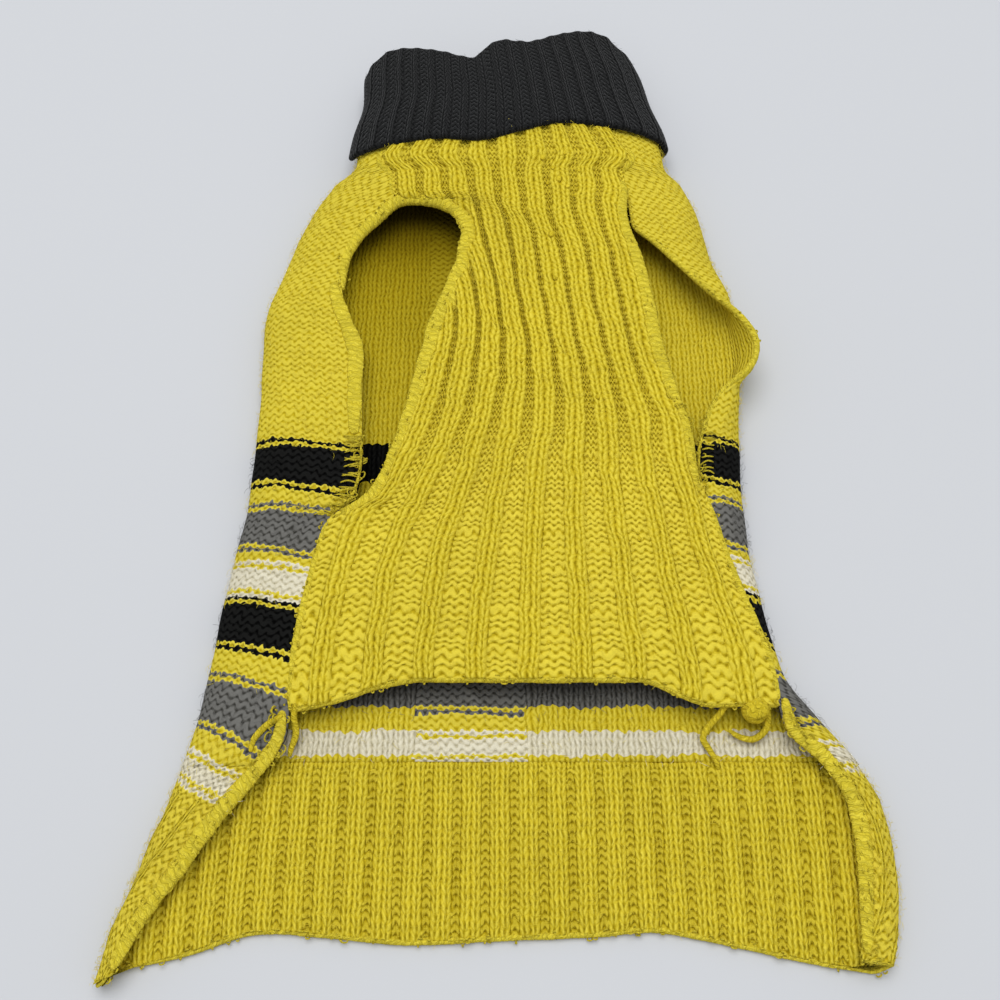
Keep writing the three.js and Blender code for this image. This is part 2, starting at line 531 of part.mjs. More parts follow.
// Turns that cut the loop into equal lengths, so the ribs are evenly spaced.
function evenTurns(count) {
  const fine = 2000;
  const y = COLLAR_LOOP[2].y;
  const lengths = [0];
  for (let i = 1; i <= fine; i += 1) {
    lengths.push(lengths[i - 1] + collarLoop(y, i / fine).distanceTo(collarLoop(y, (i - 1) / fine)));
  }
  const turns = [];
  let i = 0;
  for (let k = 0; k < count; k += 1) {
    const target = (lengths[fine] * k) / count;
    while (lengths[i + 1] < target) i += 1;
    turns.push((i + (target - lengths[i]) / (lengths[i + 1] - lengths[i])) / fine);
  }
  return turns;
}

// The turned-down collar: one wall that rises from the neck seam, folds over and comes
// back down outside itself. Its section is a closed outline of depth and place along Y.
function collar() {
  const columns = COLLAR_RIB.count * COLLAR_STEPS;
  const turns = evenTurns(columns);
  const nominal = COLLAR_LOOP[2].y;
  const positions = [];
  const faces = [];
  const inLayer = COLLAR_WALL + LAYER_GAP;
  const deep = inLayer + COLLAR_WALL;
  const fold = deep / 2;
  let profileCount = 0;
  turns.forEach((turn, c) => {
    const part = collarLoop(nominal, turn).z / COLLAR_LOOP[2].height;
    const front = smooth(COLLAR_FRONT.from, COLLAR_FRONT.to, part);
    const lowX = collarLoop(COLLAR_BACK_LOW, turn).x;
    const low = THREE.MathUtils.lerp(COLLAR_BACK_LOW, readWithin(COLLAR_LOW, lowX), front);
    const top = readWithin(COLLAR_TOP, collarLoop(COLLAR_LOOP[4].y, turn).x);
    const crown = top - fold;
    const neck = NECK_Y + SEAM_GAP;
    const middle = (low + crown) / 2;
    const rib = c % COLLAR_STEPS === 1 || c % COLLAR_STEPS === 2 ? COLLAR_RIB.height : 0;
    const corner = fold * ROUNDING;
    const profile = [
      [0, low, rib], [0, middle, rib], [0, crown, rib], [corner, top - corner, rib],
      [fold, top, 0], [deep - corner, top - corner, 0], [deep, crown, 0],
      [deep, (neck + crown) / 2, 0], [deep, neck, 0],
      [inLayer, neck, 0], [inLayer, crown, 0], [COLLAR_WALL, crown, 0], [COLLAR_WALL, low, 0],
    ];
    profileCount = profile.length;
    profile.forEach(([depth, y, raised]) => {
      const point = collarLoop(y, turn, depth - (front === 0 ? 0 : raised));
      positions.push(point.x, point.y, point.z);
    });
  });
  for (let c = 0; c < columns; c += 1) {
    const next = (c + 1) % columns;
    for (let p = 0; p < profileCount; p += 1) {
      const q = (p + 1) % profileCount;
      const [a, b] = [c * profileCount + p, c * profileCount + q];
      const [d, e] = [next * profileCount + p, next * profileCount + q];
      faces.push(a, b, e, a, e, d);
    }
  }
  return closedGeometry(positions, faces);
}

function dogSweater() {
  const group = new THREE.Group();
  const back = backPanel();
  const belly = bellyPanel(back);
  group.add(clothMesh('back_panel', wallGeometry(back.outer, back.inner), YELLOW));
  group.add(clothMesh('back_hem_rib', hemBand(back), YELLOW));
  group.add(clothMesh('belly_panel', belly, YELLOW));
  group.add(clothMesh('collar', collar(), BLACK));
  return group;
}

export default dogSweater();
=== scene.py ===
"""A knitted dog sweater, turned inside out and laid on its back on a pale table.

The frame's solids give the sweater's size and place. This file gives each of them its
knitting: the plain back with its stripes, the ribbed tail band, the ribbed belly panel
and the turned-down collar, with the overlocked edges, loose yarn ends and fibres.
"""
import math

import bmesh
import bpy
import numpy as np
from mathutils import Matrix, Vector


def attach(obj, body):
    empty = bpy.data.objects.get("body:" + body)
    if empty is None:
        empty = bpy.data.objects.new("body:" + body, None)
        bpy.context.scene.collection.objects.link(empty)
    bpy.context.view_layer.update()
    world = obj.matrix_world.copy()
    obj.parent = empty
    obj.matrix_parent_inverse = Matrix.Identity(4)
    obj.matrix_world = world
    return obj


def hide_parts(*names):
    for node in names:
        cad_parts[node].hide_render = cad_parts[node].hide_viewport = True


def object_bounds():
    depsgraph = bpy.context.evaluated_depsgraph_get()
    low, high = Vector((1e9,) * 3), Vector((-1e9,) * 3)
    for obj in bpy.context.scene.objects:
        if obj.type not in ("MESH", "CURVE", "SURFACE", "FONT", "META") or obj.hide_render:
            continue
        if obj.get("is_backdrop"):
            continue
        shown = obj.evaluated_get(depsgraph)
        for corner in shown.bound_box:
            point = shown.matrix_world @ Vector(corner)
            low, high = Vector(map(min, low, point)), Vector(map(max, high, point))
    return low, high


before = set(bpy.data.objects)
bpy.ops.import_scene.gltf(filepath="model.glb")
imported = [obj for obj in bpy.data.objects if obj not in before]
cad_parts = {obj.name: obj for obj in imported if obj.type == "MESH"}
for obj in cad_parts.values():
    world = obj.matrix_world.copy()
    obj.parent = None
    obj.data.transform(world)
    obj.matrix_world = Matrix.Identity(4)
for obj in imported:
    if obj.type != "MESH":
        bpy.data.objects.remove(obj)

bl_info = {
    "name": "Knitted Dog Sweater",
    "version": (1, 0, 0),
    "blender": (4, 5, 0),
    "location": "View3D > Sidebar > Dog Sweater",
    "description": "Adds a knitted dog sweater, laid flat, with its yarn, seams and fibres",
    "category": "Add Mesh",
}

UP = np.array([0, 0, 1.0])
MM = 0.001  # every size below is in millimetres and becomes metres in the mesh
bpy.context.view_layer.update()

# Cloth
WALL = 2.6  # thickness of the plain knit
COLLAR_WALL = 2.8  # thickness of one collar layer
LAYER_GAP = 0.8  # air between the collar's two layers
STITCH = 4.4  # width of one plain stitch
COURSE = 3.35  # height of one row of stitches

# Ribs
BELLY_WALES = 55  # stitches across the belly panel
BELLY_RIB = {"pitch": 6, "first": 3.5, "count": 9, "height": 2.3}  # pitch and first in stitches
TAIL_RIB = {"pitch": 3, "gauge": 3.8, "height": 2.9}  # two knit stitches and one purl
COLLAR_RIB = {"count": 38, "height": 0.9}

# Lengths along Y
NECK_Y = 214
RIB_START_Y = -122
HEM_Y = -190
CENTRE = (1.2, 35.9)  # what the drawing below is shifted by, to stand on the origin


class Table:
    """Named columns of numbers, read smoothly between rows of rising or falling keys."""

    def __init__(self, names, rows):
        rows = np.array(rows, float)
        self.rows = rows if rows[-1, 0] > rows[0, 0] else rows[::-1]
        self.names = names.split()
        self.keys = self.rows[:, 0]
        count = len(self.keys)
        before = np.maximum(np.arange(count) - 1, 0)
        after = np.minimum(np.arange(count) + 1, count - 1)
        spans = (self.keys[after] - self.keys[before])[:, None]
        self.slopes = (self.rows[after] - self.rows[before]) / spans

    def at(self, name, key):
        column = self.names.index(name)
        key = np.clip(np.asarray(key, float), self.keys[0], self.keys[-1])
        i = np.clip(np.searchsorted(self.keys, key) - 1, 0, len(self.keys) - 2)
        span = self.keys[i + 1] - self.keys[i]
        t = (key - self.keys[i]) / span
        start, end = self.rows[i, column], self.rows[i + 1, column]
        leave, arrive = self.slopes[i, column] * span, self.slopes[i + 1, column] * span
        return ((2 * t**3 - 3 * t**2 + 1) * start + (t**3 - 2 * t**2 + t) * leave
                + (3 * t**2 - 2 * t**3) * end + (t**3 - t**2) * arrive)


# Sections of the back's two flanks, from neck to hem. y is the row's place at the middle
# of the back. fold is the outermost point of the cross-section; the floor starts floorIn
# inside it and the crest of the flank lies crestIn inside it. edge is the cut edge.
FLANK_COLUMNS = "y foldX foldY foldZ floorIn crestIn crestZ edgeX edgeY edgeZ"
LEFT_FLANK = Table(FLANK_COLUMNS, [
    [214, -71.0, 214, 14.5, 13, 7.5, 21.5, -58.5, 214, 24.2],
    [192, -78.0, 192, 12.5, 12, 8.5, 19.0, -57.0, 192, 21.5],
    [178, -86.0, 178, 10.0, 10, 9, 16.5, -55.5, 178, 19.5],
    [166, -92.5, 166, 8.5, 9, 9, 15.5, -53.8, 166.5, 18.0],
    [158, -96.0, 158, 8.0, 8.5, 9, 15.0, -56.0, 160.5, 17.0],
    [150, -99.2, 150.5, 7.5, 8, 9, 15.0, -61.5, 153.5, 16.5],
    [141, -102.2, 142, 7.5, 8, 9, 14.8, -69.0, 145.5, 16.2],
    [131, -104.7, 131.5, 7.2, 8, 9, 14.6, -75.0, 134.5, 16.0],
    [119, -108.0, 119, 7.2, 8, 8.5, 14.6, -78.0, 119.5, 16.0],
    [104, -112.5, 104, 7.2, 8, 8.5, 14.5, -76.3, 104, 15.6],
    [88, -114.2, 88, 7.0, 7.8, 8.5, 14.3, -70.5, 88, 15.0],
    [73, -113.6, 73, 7.0, 7.6, 8.5, 14.0, -65.2, 73, 14.6],
    [58, -112.8, 58, 6.8, 7.5, 8.5, 13.6, -64.5, 58, 14.2],
    [44, -112.0, 44, 6.8, 7.5, 8.5, 13.4, -64.0, 44, 14.0],
    [28, -111.7, 28, 6.8, 7.5, 8.5, 13.4, -63.2, 28, 14.0],
    [10, -112.0, 10, 6.8, 7.5, 8.5, 13.4, -62.0, 10, 14.0],
    [-6, -112.6, -6, 6.8, 7.5, 8.5, 13.4, -65.5, -7, 14.0],
    [-16, -113.6, -16, 6.8, 7.5, 8.5, 13.4, -73.5, -15.5, 14.2],
    [-35, -116.0, -35, 6.8, 7.5, 8.5, 13.4, -79.0, -34, 14.4],
    [-55, -118.3, -55, 6.6, 7.2, 8, 13.0, -82.3, -54, 14.2],
    [-75, -120.2, -75, 6.4, 7, 7.5, 12.6, -85.0, -74, 13.6],
    [-90, -121.5, -90.5, 6.2, 6.8, 7.2, 12.2, -86.0, -90, 13.0],
    [-103, -123.2, -104.5, 6.0, 6.6, 7, 12.0, -86.0, -103.5, 12.2],
    [-113, -125.6, -115.5, 5.8, 6.4, 6.8, 11.6, -87.0, -115.5, 11.4],
    [-122, -128.3, -126.5, 5.6, 6.2, 6.5, 11.2, -93.5, -126.5, 11.0],
    [-135, -132.6, -142.5, 5.6, 6, 6.2, 11.0, -104.5, -140.5, 10.6],
    [-148, -137.2, -158.0, 5.6, 6, 6, 10.9, -114.5, -154.5, 10.2],
    [-162, -142.4, -174.0, 5.6, 5.8, 5.8, 10.8, -122.8, -167.5, 9.8],
    [-175, -146.6, -188.5, 5.5, 5.6, 5.6, 10.7, -132.0, -180.0, 9.4],
    [-190, -151.0, -207.0, 5.6, 5.8, 5.6, 11.0, -143.5, -204.0, 9.6],
])
RIGHT_FLANK = Table(FLANK_COLUMNS, [
    [214, 81.0, 214, 14.5, 13, 6.5, 21.5, 62.0, 214, 24.6],
    [192, 87.0, 192, 12.5, 13, 8.5, 19.2, 62.0, 192, 22.0],
    [178, 93.5, 178, 10.0, 10.5, 9.5, 17.0, 62.5, 178, 20.5],
    [166, 98.0, 166, 9.0, 9.5, 9.5, 16.5, 64.5, 166, 19.5],
    [158, 100.5, 158, 9.0, 9.5, 9, 16.5, 66.0, 158, 19.2],
    [150, 102.0, 150, 9.0, 9.5, 8.5, 16.8, 66.5, 150.5, 19.2],
    [141, 103.2, 141, 9.0, 9.5, 8, 17.2, 67.5, 144.0, 19.5],
    [131, 104.6, 131, 9.0, 9.5, 7, 17.6, 75.5, 136.0, 20.0],
    [119, 107.2, 119.5, 9.0, 9.5, 4, 18.0, 87.0, 121.5, 21.0],
    [104, 110.8, 104, 8.5, 10, 1, 17.5, 100.5, 104.0, 22.0],
    [88, 112.5, 88, 7.5, 14, -1.5, 14.5, 114.0, 88.5, 22.5],
    [73, 113.0, 73, 6.0, 16, -4, 13.5, 121.0, 72.0, 22.5],
    [58, 111.5, 58, 6.5, 14, -1.5, 14.0, 116.5, 57.5, 21.0],
    [44, 110.6, 44, 8.0, 9, 3, 16.5, 102.0, 45.5, 19.0],
    [28, 110.0, 28, 8.0, 8.5, 7, 16.0, 93.5, 28.5, 18.2],
    [10, 109.0, 10, 7.5, 8, 7, 15.2, 89.6, 10, 17.2],
    [-6, 108.5, -6, 7.0, 7.5, 7, 14.6, 90.8, -6, 16.6],
    [-16, 108.5, -16, 7.0, 7.5, 6.5, 14.4, 93.2, -15.5, 16.2],
    [-35, 109.2, -35, 7.0, 7.5, 6, 14.0, 97.0, -34, 16.0],
    [-55, 112.0, -55, 6.8, 7.2, 4, 13.2, 102.8, -54, 15.4],
    [-75, 115.0, -75, 6.4, 7, 2, 11.6, 109.6, -74, 14.2],
    [-90, 119.5, -90.5, 6.2, 7, 2.5, 11.4, 112.8, -90, 13.4],
    [-103, 129.0, -104.0, 6.0, 6.8, 6, 11.6, 114.0, -101.5, 12.2],
    [-113, 138.0, -115.0, 5.6, 6.4, 6.5, 11.0, 117.0, -112.0, 10.6],
    [-122, 144.5, -124.5, 5.6, 6.2, 6.2, 10.8, 127.0, -121.0, 10.0],
    [-135, 150.5, -139.5, 5.6, 6, 6, 10.7, 136.0, -135.0, 9.6],
    [-148, 153.2, -154.5, 5.5, 6, 6, 10.6, 138.6, -149.5, 9.4],
    [-162, 153.4, -170.0, 5.5, 6, 6, 10.5, 138.4, -164.0, 9.2],
    [-175, 151.5, -184.0, 5.4, 5.8, 5.8, 10.4, 136.8, -178.5, 9.0],
    [-190, 147.2, -200.5, 5.3, 5.6, 5.6, 10.2, 134.6, -199.0, 8.8],
])
# How far the tail hem lies from HEM_Y at each x.
HEM_WAVE = Table("x y", [
    [-145, -11], [-120, -6], [-94, 2], [-66, 1], [-36, -1.5], [0, 0],
    [39, 1.5], [59, 3], [88, -2], [116, -8], [140, -12],
])
# The body's walls draw in under the collar, and its underside leaves the table.
NECK_TUCK = {"from": 178, "to": 189, "depth": COLLAR_WALL + LAYER_GAP + 1.6}
NECK_LIFT = {"from": 166, "to": 189, "height": COLLAR_WALL + LAYER_GAP}

# Rows of the belly panel, from neck to hem. leftWale is the stitch at the left edge, midX
# the middle rib, crown how far the middle stands above the edges, and open how far the
# purl valleys are stretched open.
BELLY_ROWS = Table("y leftX leftY leftZ leftWale midX rightX rightY rightZ crown open", [
    [214, -58.5, 214, 24.2, 0, 3.0, 62.0, 214, 24.6, 1.2, 0.35],
    [192, -57.0, 192, 21.5, 0, 3.8, 62.0, 192, 22.0, 1.8, 0.35],
    [178, -55.5, 178, 19.5, 0, 4.2, 62.5, 178, 20.5, 2.2, 0.3],
    [166, -53.8, 166.5, 18.0, 0, 4.8, 64.5, 166, 19.5, 2.6, 0.25],
    [158, -45.0, 165.0, 18.0, 3, 5.4, 63.0, 158, 20.0, 2.6, 0.22],
    [150, -34.0, 163.0, 18.6, 8, 6.4, 62.2, 150, 20.0, 2.8, 0.2],
    [141, -23.5, 158.0, 19.4, 13, 8.0, 63.0, 141, 19.6, 3.0, 0.2],
    [131, -16.8, 147.0, 19.6, 15, 10.2, 65.2, 131, 19.2, 3.2, 0.18],
    [119, -15.6, 133.5, 19.4, 14.5, 12.0, 68.0, 119, 18.8, 3.2, 0.15],
    [104, -20.5, 115.0, 19.0, 9, 14.0, 70.6, 104, 18.4, 3.2, 0.12],
    [88, -27.0, 94.5, 18.6, 3, 16.4, 72.6, 88, 18.0, 3.4, 0.12],
    [73, -32.4, 75.5, 18.2, 0, 18.4, 74.2, 73, 17.8, 3.6, 0.14],
    [58, -36.6, 58.0, 17.8, 0, 19.6, 77.2, 58, 17.6, 3.8, 0.18],
    [44, -40.0, 42.5, 17.4, 0, 20.0, 81.0, 44, 17.4, 4.0, 0.24],
    [28, -44.6, 26.0, 17.0, 0, 19.4, 86.0, 28, 17.2, 4.2, 0.3],
    [10, -51.5, 6.5, 16.4, 0, 17.0, 87.6, 10, 17.0, 4.4, 0.4],
    [-6, -58.5, -9.0, 15.6, 0, 15.6, 90.8, -6, 16.6, 4.6, 0.5],
    [-16, -73.5, -15.5, 14.2, 0, 14.8, 93.2, -15.5, 16.2, 4.6, 0.56],
    [-35, -79.0, -34, 14.4, 0, 13.6, 97.0, -34, 16.0, 4.2, 0.64],
    [-55, -82.3, -54, 14.2, 0, 12.6, 102.8, -54, 15.4, 3.8, 0.69],
    [-72, -85.0, -74, 13.6, 0, 12.0, 109.6, -74, 14.2, 3.4, 0.73],
    [-83, -86.0, -90, 13.0, 0, 11.8, 112.8, -90, 13.4, 3.0, 0.75],
    [-91, -86.0, -103.5, 12.2, 0, 11.6, 114.0, -101.5, 12.2, 2.6, 0.76],
])
BELLY_HEM_Y = -91
BELLY_BOW_START_Y = -50
BELLY_BOW = {"armhole": 0.5, "hem": 0.28, "hemLevel": 0.13}
BELLY_FLAT_EDGE = 14
ARMHOLE_TOP_Y = 166
BEND_SPREAD = (-24, -16, -8, 0, 8, 16, 24)  # the ribs bend this far before and past the edge
BEND_REACH = 0.2  # share of the panel that follows the edge's own bend
RIB_SWAY = 0.6  # how far the ribs stray sideways
LEFT_ARMHOLE_END_Y = -16
RIGHT_ARMHOLE_END_Y = -6

# The collar's outer loop at each y, its turned-down edge and its top fold.
COLLAR_LOOP = Table("y left right height", [
    [190, -79, 89, 30], [208, -77, 86.5, 30], [229, -73, 80.5, 29], [250, -73.5, 76.5, 28],
    [268, -72, 71, 27], [288, -68, 67, 26],
])
COLLAR_LOW = Table("x y", [
    [-78, 190], [-68, 192], [-54, 194.5], [-33, 196.5], [-10, 195], [10, 201], [31, 207],
    [52, 206], [70, 203.5], [88, 199],
])
COLLAR_TOP = Table("x y", [
    [-71, 254], [-63, 264], [-52, 266], [-33, 262], [-15, 256], [-8, 264], [0, 270], [16, 269],
    [33, 275.5], [49, 279.5], [60, 277], [68, 266],
])
COLLAR_BACK_LOW = 200
COLLAR_TOP_Y = 268  # where the loop is read for the top fold
COLLAR_POWER = 2.7
COLLAR_SINK = 0.7
COLLAR_FRONT = {"from": 0.35, "to": 0.65}
COLLAR_NOMINAL_Y = 229

# Stripes of the back, as the first row of stitches of each colour, counted from the neck.
STRIPES = [
    (0, "yellow"), (56, "black"), (62, "yellow"), (65, "grey"), (71, "yellow"), (73, "white"),
    (77, "yellow"), (78, "black"), (84, "yellow"), (88, "grey"), (94, "yellow"), (97, "white"),
    (100, "yellow"),
]
STRIPE_SCALE = 130  # rows of stitches that the stripes' ramp spans
# The rows of stitches sag towards the tail at the flanks, by this much at each y.
ROW_SAG = Table("y left right slope", [
    [214, 0, 0, 0], [60, 2, 2, 0.04], [27, 3, 5, 0.09], [6, 4.5, 5, 0.11], [-23, 6, 6, 0.13],
    [-67, 7.2, 8, 0.16], [-98, 7.5, 8, 0.26], [-110, 8, 7, 0.36], [-122, 9, 6, 0.42],
    [-190, 9, 6, 0.42],
])
FOLD_ARC = 6  # cloth between the floor's edge and the flank's outermost line


def smooth(start, end, value):
    """Rise from 0 to 1 between two values, or fall where start is the larger."""
    t = np.clip((np.asarray(value, float) - start) / (end - start), 0, 1)
    return t * t * (3 - 2 * t)


def blend(a, b, share):
    return a + (b - a) * share


def waves(x, y, wavelengths, seed):
    """Soft unevenness from -1 to 1: a few sine waves in different directions."""
    picks = np.random.default_rng(seed)
    total = np.zeros(np.broadcast(x, y).shape)
    for length in wavelengths:
        angle, phase = picks.uniform(0, 2 * np.pi, 2)
        total += np.sin(2 * np.pi * (x * np.cos(angle) + y * np.sin(angle)) / length + phase)
    return total / len(wavelengths)


def folds(points, lines):
    """Height of soft folds: each line is x and y of its ends, half width and height."""
    total = np.zeros(points.shape[:-1])
    for x0, y0, x1, y1, half, height in lines:
        start, run = np.array([x0, y0]), np.array([x1 - x0, y1 - y0])
        away = points[..., :2] - start
        share = np.clip((away * run).sum(-1) / (run * run).sum(), 0, 1)
        gap = np.linalg.norm(away - share[..., None] * run, axis=-1)
        total += height * np.exp(-((gap / half) ** 2)) * (0.35 + 0.65 * np.sin(np.pi * share))
    return total


def lengths_along(lines):
    """The length from the start of each line (..., points, 3) to each of its points."""
    steps = np.linalg.norm(np.diff(lines, axis=-2), axis=-1)
    return np.concatenate([np.zeros((*steps.shape[:-1], 1)), np.cumsum(steps, axis=-1)], axis=-1)


def read_line(marks, keys, line):
    """A line's points at marks, where keys gives the mark of each of its points."""
    return np.stack([np.interp(marks, keys, line[:, axis]) for axis in range(3)], -1)


# The collar's flattened loop

def collar_shape(y):
    left, right = COLLAR_LOOP.at("left", y), COLLAR_LOOP.at("right", y)
    height = COLLAR_LOOP.at("height", y)
    return ((left + right) / 2, (height - COLLAR_SINK) / 2,
            (right - left) / 2, (height + COLLAR_SINK) / 2)


def collar_loop(y, turn, depth=0.0):
    """Points of the collar, depth inside its outer loop; turn runs once round it."""
    middle_x, middle_z, half_width, half_height = collar_shape(y)
    angle = 2 * np.pi * np.asarray(turn, float)

    def bend(value):
        return np.sign(value) * np.abs(value) ** (2 / COLLAR_POWER)

    x = middle_x + (half_width - depth) * bend(np.cos(angle))
    z = middle_z + (half_height - depth) * bend(np.sin(angle))
    return np.stack(np.broadcast_arrays(x, y, np.maximum(z, 0)), -1)


def tuck(points):
    """Draw points of the body in to the collar's loop, less its turned-down layer."""
    pull = smooth(NECK_TUCK["from"], NECK_TUCK["to"], points[..., 1])
    middle_x, middle_z, half_width, half_height = collar_shape(points[..., 1])
    x = (points[..., 0] - middle_x) / (half_width - NECK_TUCK["depth"])
    z = (points[..., 2] - middle_z) / (half_height - NECK_TUCK["depth"])
    reach = (np.abs(x) ** COLLAR_POWER + np.abs(z) ** COLLAR_POWER) ** (1 / COLLAR_POWER)
    scale = blend(1, 1 / np.maximum(reach, 0.05), pull)
    points[..., 0] = middle_x + (points[..., 0] - middle_x) * scale
    points[..., 2] = middle_z + (points[..., 2] - middle_z) * scale
    return points


# The back's surface

def neck_lift(y):
    return NECK_LIFT["height"] * smooth(NECK_LIFT["from"], NECK_LIFT["to"], y)


def hem_shift(x, y):
    inside = np.clip(x, HEM_WAVE.keys[0], HEM_WAVE.keys[-1])
    return HEM_WAVE.at("y", inside) * smooth(RIB_START_Y, HEM_Y, y)


def through_points(points, t):
    """A centripetal curve through each row of points (rows, count, 3), read at t."""
    first = 2 * points[:, :1] - points[:, 1:2]
    last = 2 * points[:, -1:] - points[:, -2:-1]
    ends = np.concatenate([first, points, last], axis=1)
    place = t * (points.shape[1] - 1)
    i = np.minimum(place.astype(int), points.shape[1] - 2)
    w = (place - i)[None, :, None]
    p0, p1, p2, p3 = (ends[:, i + k] for k in range(4))

    def spacing(a, b):
        return np.sqrt(np.linalg.norm(b - a, axis=-1, keepdims=True)) + 1e-9

    d0, d1, d2 = spacing(p0, p1), spacing(p1, p2), spacing(p2, p3)
    leave = ((p1 - p0) / d0 - (p2 - p0) / (d0 + d1) + (p2 - p1) / d1) * d1
    arrive = ((p2 - p1) / d1 - (p3 - p1) / (d1 + d2) + (p3 - p2) / d2) * d1
    return ((2 * w**3 - 3 * w**2 + 1) * p1 + (w**3 - 2 * w**2 + w) * leave
            + (3 * w**2 - 2 * w**3) * p2 + (w**3 - w**2) * arrive)


def flank_curve(table, side, y, steps):
    """One flank's rows, from the floor up round the fold to the panel's edge."""
    fold_x, fold_y = table.at("foldX", y), table.at("foldY", y)
    floor_x = fold_x - side * table.at("floorIn", y)
    inner_x = floor_x - side * table.at("floorIn", y)
    edge_y = table.at("edgeY", y)
    crest_x = fold_x - side * table.at("crestIn", y)
    lift = neck_lift(y)
    guides = [
        (inner_x, y + hem_shift(inner_x, y), lift),
        (floor_x, y + hem_shift(floor_x, y), lift),
        (fold_x, fold_y, table.at("foldZ", y)),
        (crest_x, (fold_y + edge_y) / 2, table.at("crestZ", y)),
        (table.at("edgeX", y), edge_y, table.at("edgeZ", y)),
    ]
    guides = np.stack([np.stack(guide, -1) for guide in guides], axis=1)
    return through_points(guides, np.linspace(0, 1, steps))


def back_surface(y, columns):
    """The back's outer surface: rows at y, columns from the left edge to the right.

    Returns the points and each point's length along the cloth from the middle."""
    y = np.asarray(y, float)
    half = columns // 2
    steps = 90
    sides = []
    for table, side in ((LEFT_FLANK, -1), (RIGHT_FLANK, 1)):
        flank = flank_curve(table, side, y, steps)
        share = np.linspace(0, 1, steps, endpoint=False)
        floor_x = flank[:, :1, 0] * share
        floor_y = y[:, None] + hem_shift(floor_x, y[:, None])
        floor_z = np.broadcast_to(neck_lift(y)[:, None], floor_x.shape)
        line = np.concatenate([np.stack([floor_x, floor_y, floor_z], -1), flank], axis=1)
        line = tuck(line)
        line[..., 2] = np.maximum(line[..., 2], neck_lift(y)[:, None])
        lengths = lengths_along(line)
        points = np.empty((len(y), half + 1, 3))
        arcs = np.empty((len(y), half + 1))
        for r in range(len(y)):
            arcs[r] = np.linspace(0, lengths[r, -1], half + 1)
            points[r] = read_line(arcs[r], lengths[r], line[r])
        sides.append((points, arcs * side))
    (left, left_arc), (right, right_arc) = sides
    return (np.concatenate([left[:, ::-1], right[:, 1:]], axis=1),
            np.concatenate([left_arc[:, ::-1], right_arc[:, 1:]], axis=1))


def grid_normals(points):
    """Unit normals of a grid of points (rows, columns, 3), up over the floor."""
    along = np.gradient(points, axis=1)
    down = np.gradient(points, axis=0)
    normals = np.cross(down, along)
    return normals / np.maximum(np.linalg.norm(normals, axis=-1, keepdims=True), 1e-9)


# The belly's surface

def open_stitches(wale, opening):
    """The place across the panel, in even stitches, of a stitch of the ribbed knitting:
    knit ribs spread over the purl valleys between them where these are closed."""
    pitch, first, count = BELLY_RIB["pitch"], BELLY_RIB["first"], BELLY_RIB["count"]
    rib = np.clip(np.round((wale - first) / pitch), 0, count - 1)
    part = (wale - first - rib * pitch) / pitch
    knit_half = 0.49 - 0.34 * opening ** 0.9
    size = np.abs(part)
    spread = np.where(size < 0.25, size / 0.25 * knit_half,
                      knit_half + (size - 0.25) / 0.25 * (0.5 - knit_half))
    spread = np.where(size > 0.5, size, spread)
    return first + (rib + np.sign(part) * spread) * pitch


def belly_surface(y, stitches):
    """The belly's plain surface: rows at y, columns at stitches from the left edge.

    Returns the points, and the stitch and its even place at each."""
    y = np.asarray(y, float)[:, None]
    column = np.asarray(stitches, float)[None, :]
    row = {name: BELLY_ROWS.at(name, y) for name in BELLY_ROWS.names[1:]}
    squeeze = np.maximum(1 - column / (2 * BELLY_FLAT_EDGE), 0)
    wale = column + row["leftWale"] * squeeze
    place = open_stitches(wale, row["open"])
    place = np.where(column == column.min(), wale, place)
    from_left = (place - row["leftWale"]) / (BELLY_WALES - row["leftWale"])
    to_hem = smooth(BELLY_BOW_START_Y, BELLY_HEM_Y, y)
    reach = blend(BELLY_BOW["armhole"], BELLY_BOW["hem"], to_hem)
    at_left = 1 - smooth(0, reach, from_left)
    at_right = smooth(1 - reach, 1 - BELLY_BOW["hemLevel"] * to_hem, from_left)
    height = blend(row["leftZ"], row["rightZ"], from_left)
    height = height + row["crown"] * (1 - (2 * from_left - 1) ** 4)
    left, middle, right = row["leftWale"], BELLY_WALES / 2, BELLY_WALES
    nearby = np.mean([BELLY_ROWS.at("leftX", y + off) for off in BEND_SPREAD], axis=0)
    eased = blend(row["leftX"], nearby, smooth(70, 40, y) * smooth(-75, -50, y))
    at_edge = np.maximum(1 - from_left / BEND_REACH, 0) ** 2
    x = ((row["leftX"] - eased) * at_edge
         + eased * (place - middle) * (place - right) / ((left - middle) * (left - right))
         + row["midX"] * (place - left) * (place - right) / ((middle - left) * (middle - right))
         + row["rightX"] * (place - left) * (place - middle) / ((right - left) * (right - middle)))
    inner = smooth(0.02, 0.12, from_left) * smooth(0.98, 0.88, from_left)
    x = x + RIB_SWAY * inner * waves(place * 3.0, y, (37, 61, 23), seed=9)
    points = np.stack(np.broadcast_arrays(
        x, y + (row["leftY"] - y) * at_left + (row["rightY"] - y) * at_right, height), -1)
    return tuck(points), wale, place


def away_from_rib(wale):
    """Stitches from each place to the middle of the nearest knit rib."""
    pitch, first, count = BELLY_RIB["pitch"], BELLY_RIB["first"], BELLY_RIB["count"]
    nearest = np.clip(np.round((wale - first) / pitch), 0, count - 1)
    return np.abs(wale - first - nearest * pitch)


def belly_rib(wale, opening):
    """Height of the ribs above the valleys."""
    away = away_from_rib(wale)
    closed = smooth(0.6, 0.15, opening)
    ridge = 1 - smooth(blend(0.8, 1.35, closed), blend(1.9, 1.7, closed), away)
    return BELLY_RIB["height"] * ridge


KNIT_RIB_HALF = 1.5  # half the width of a knit rib, in stitches


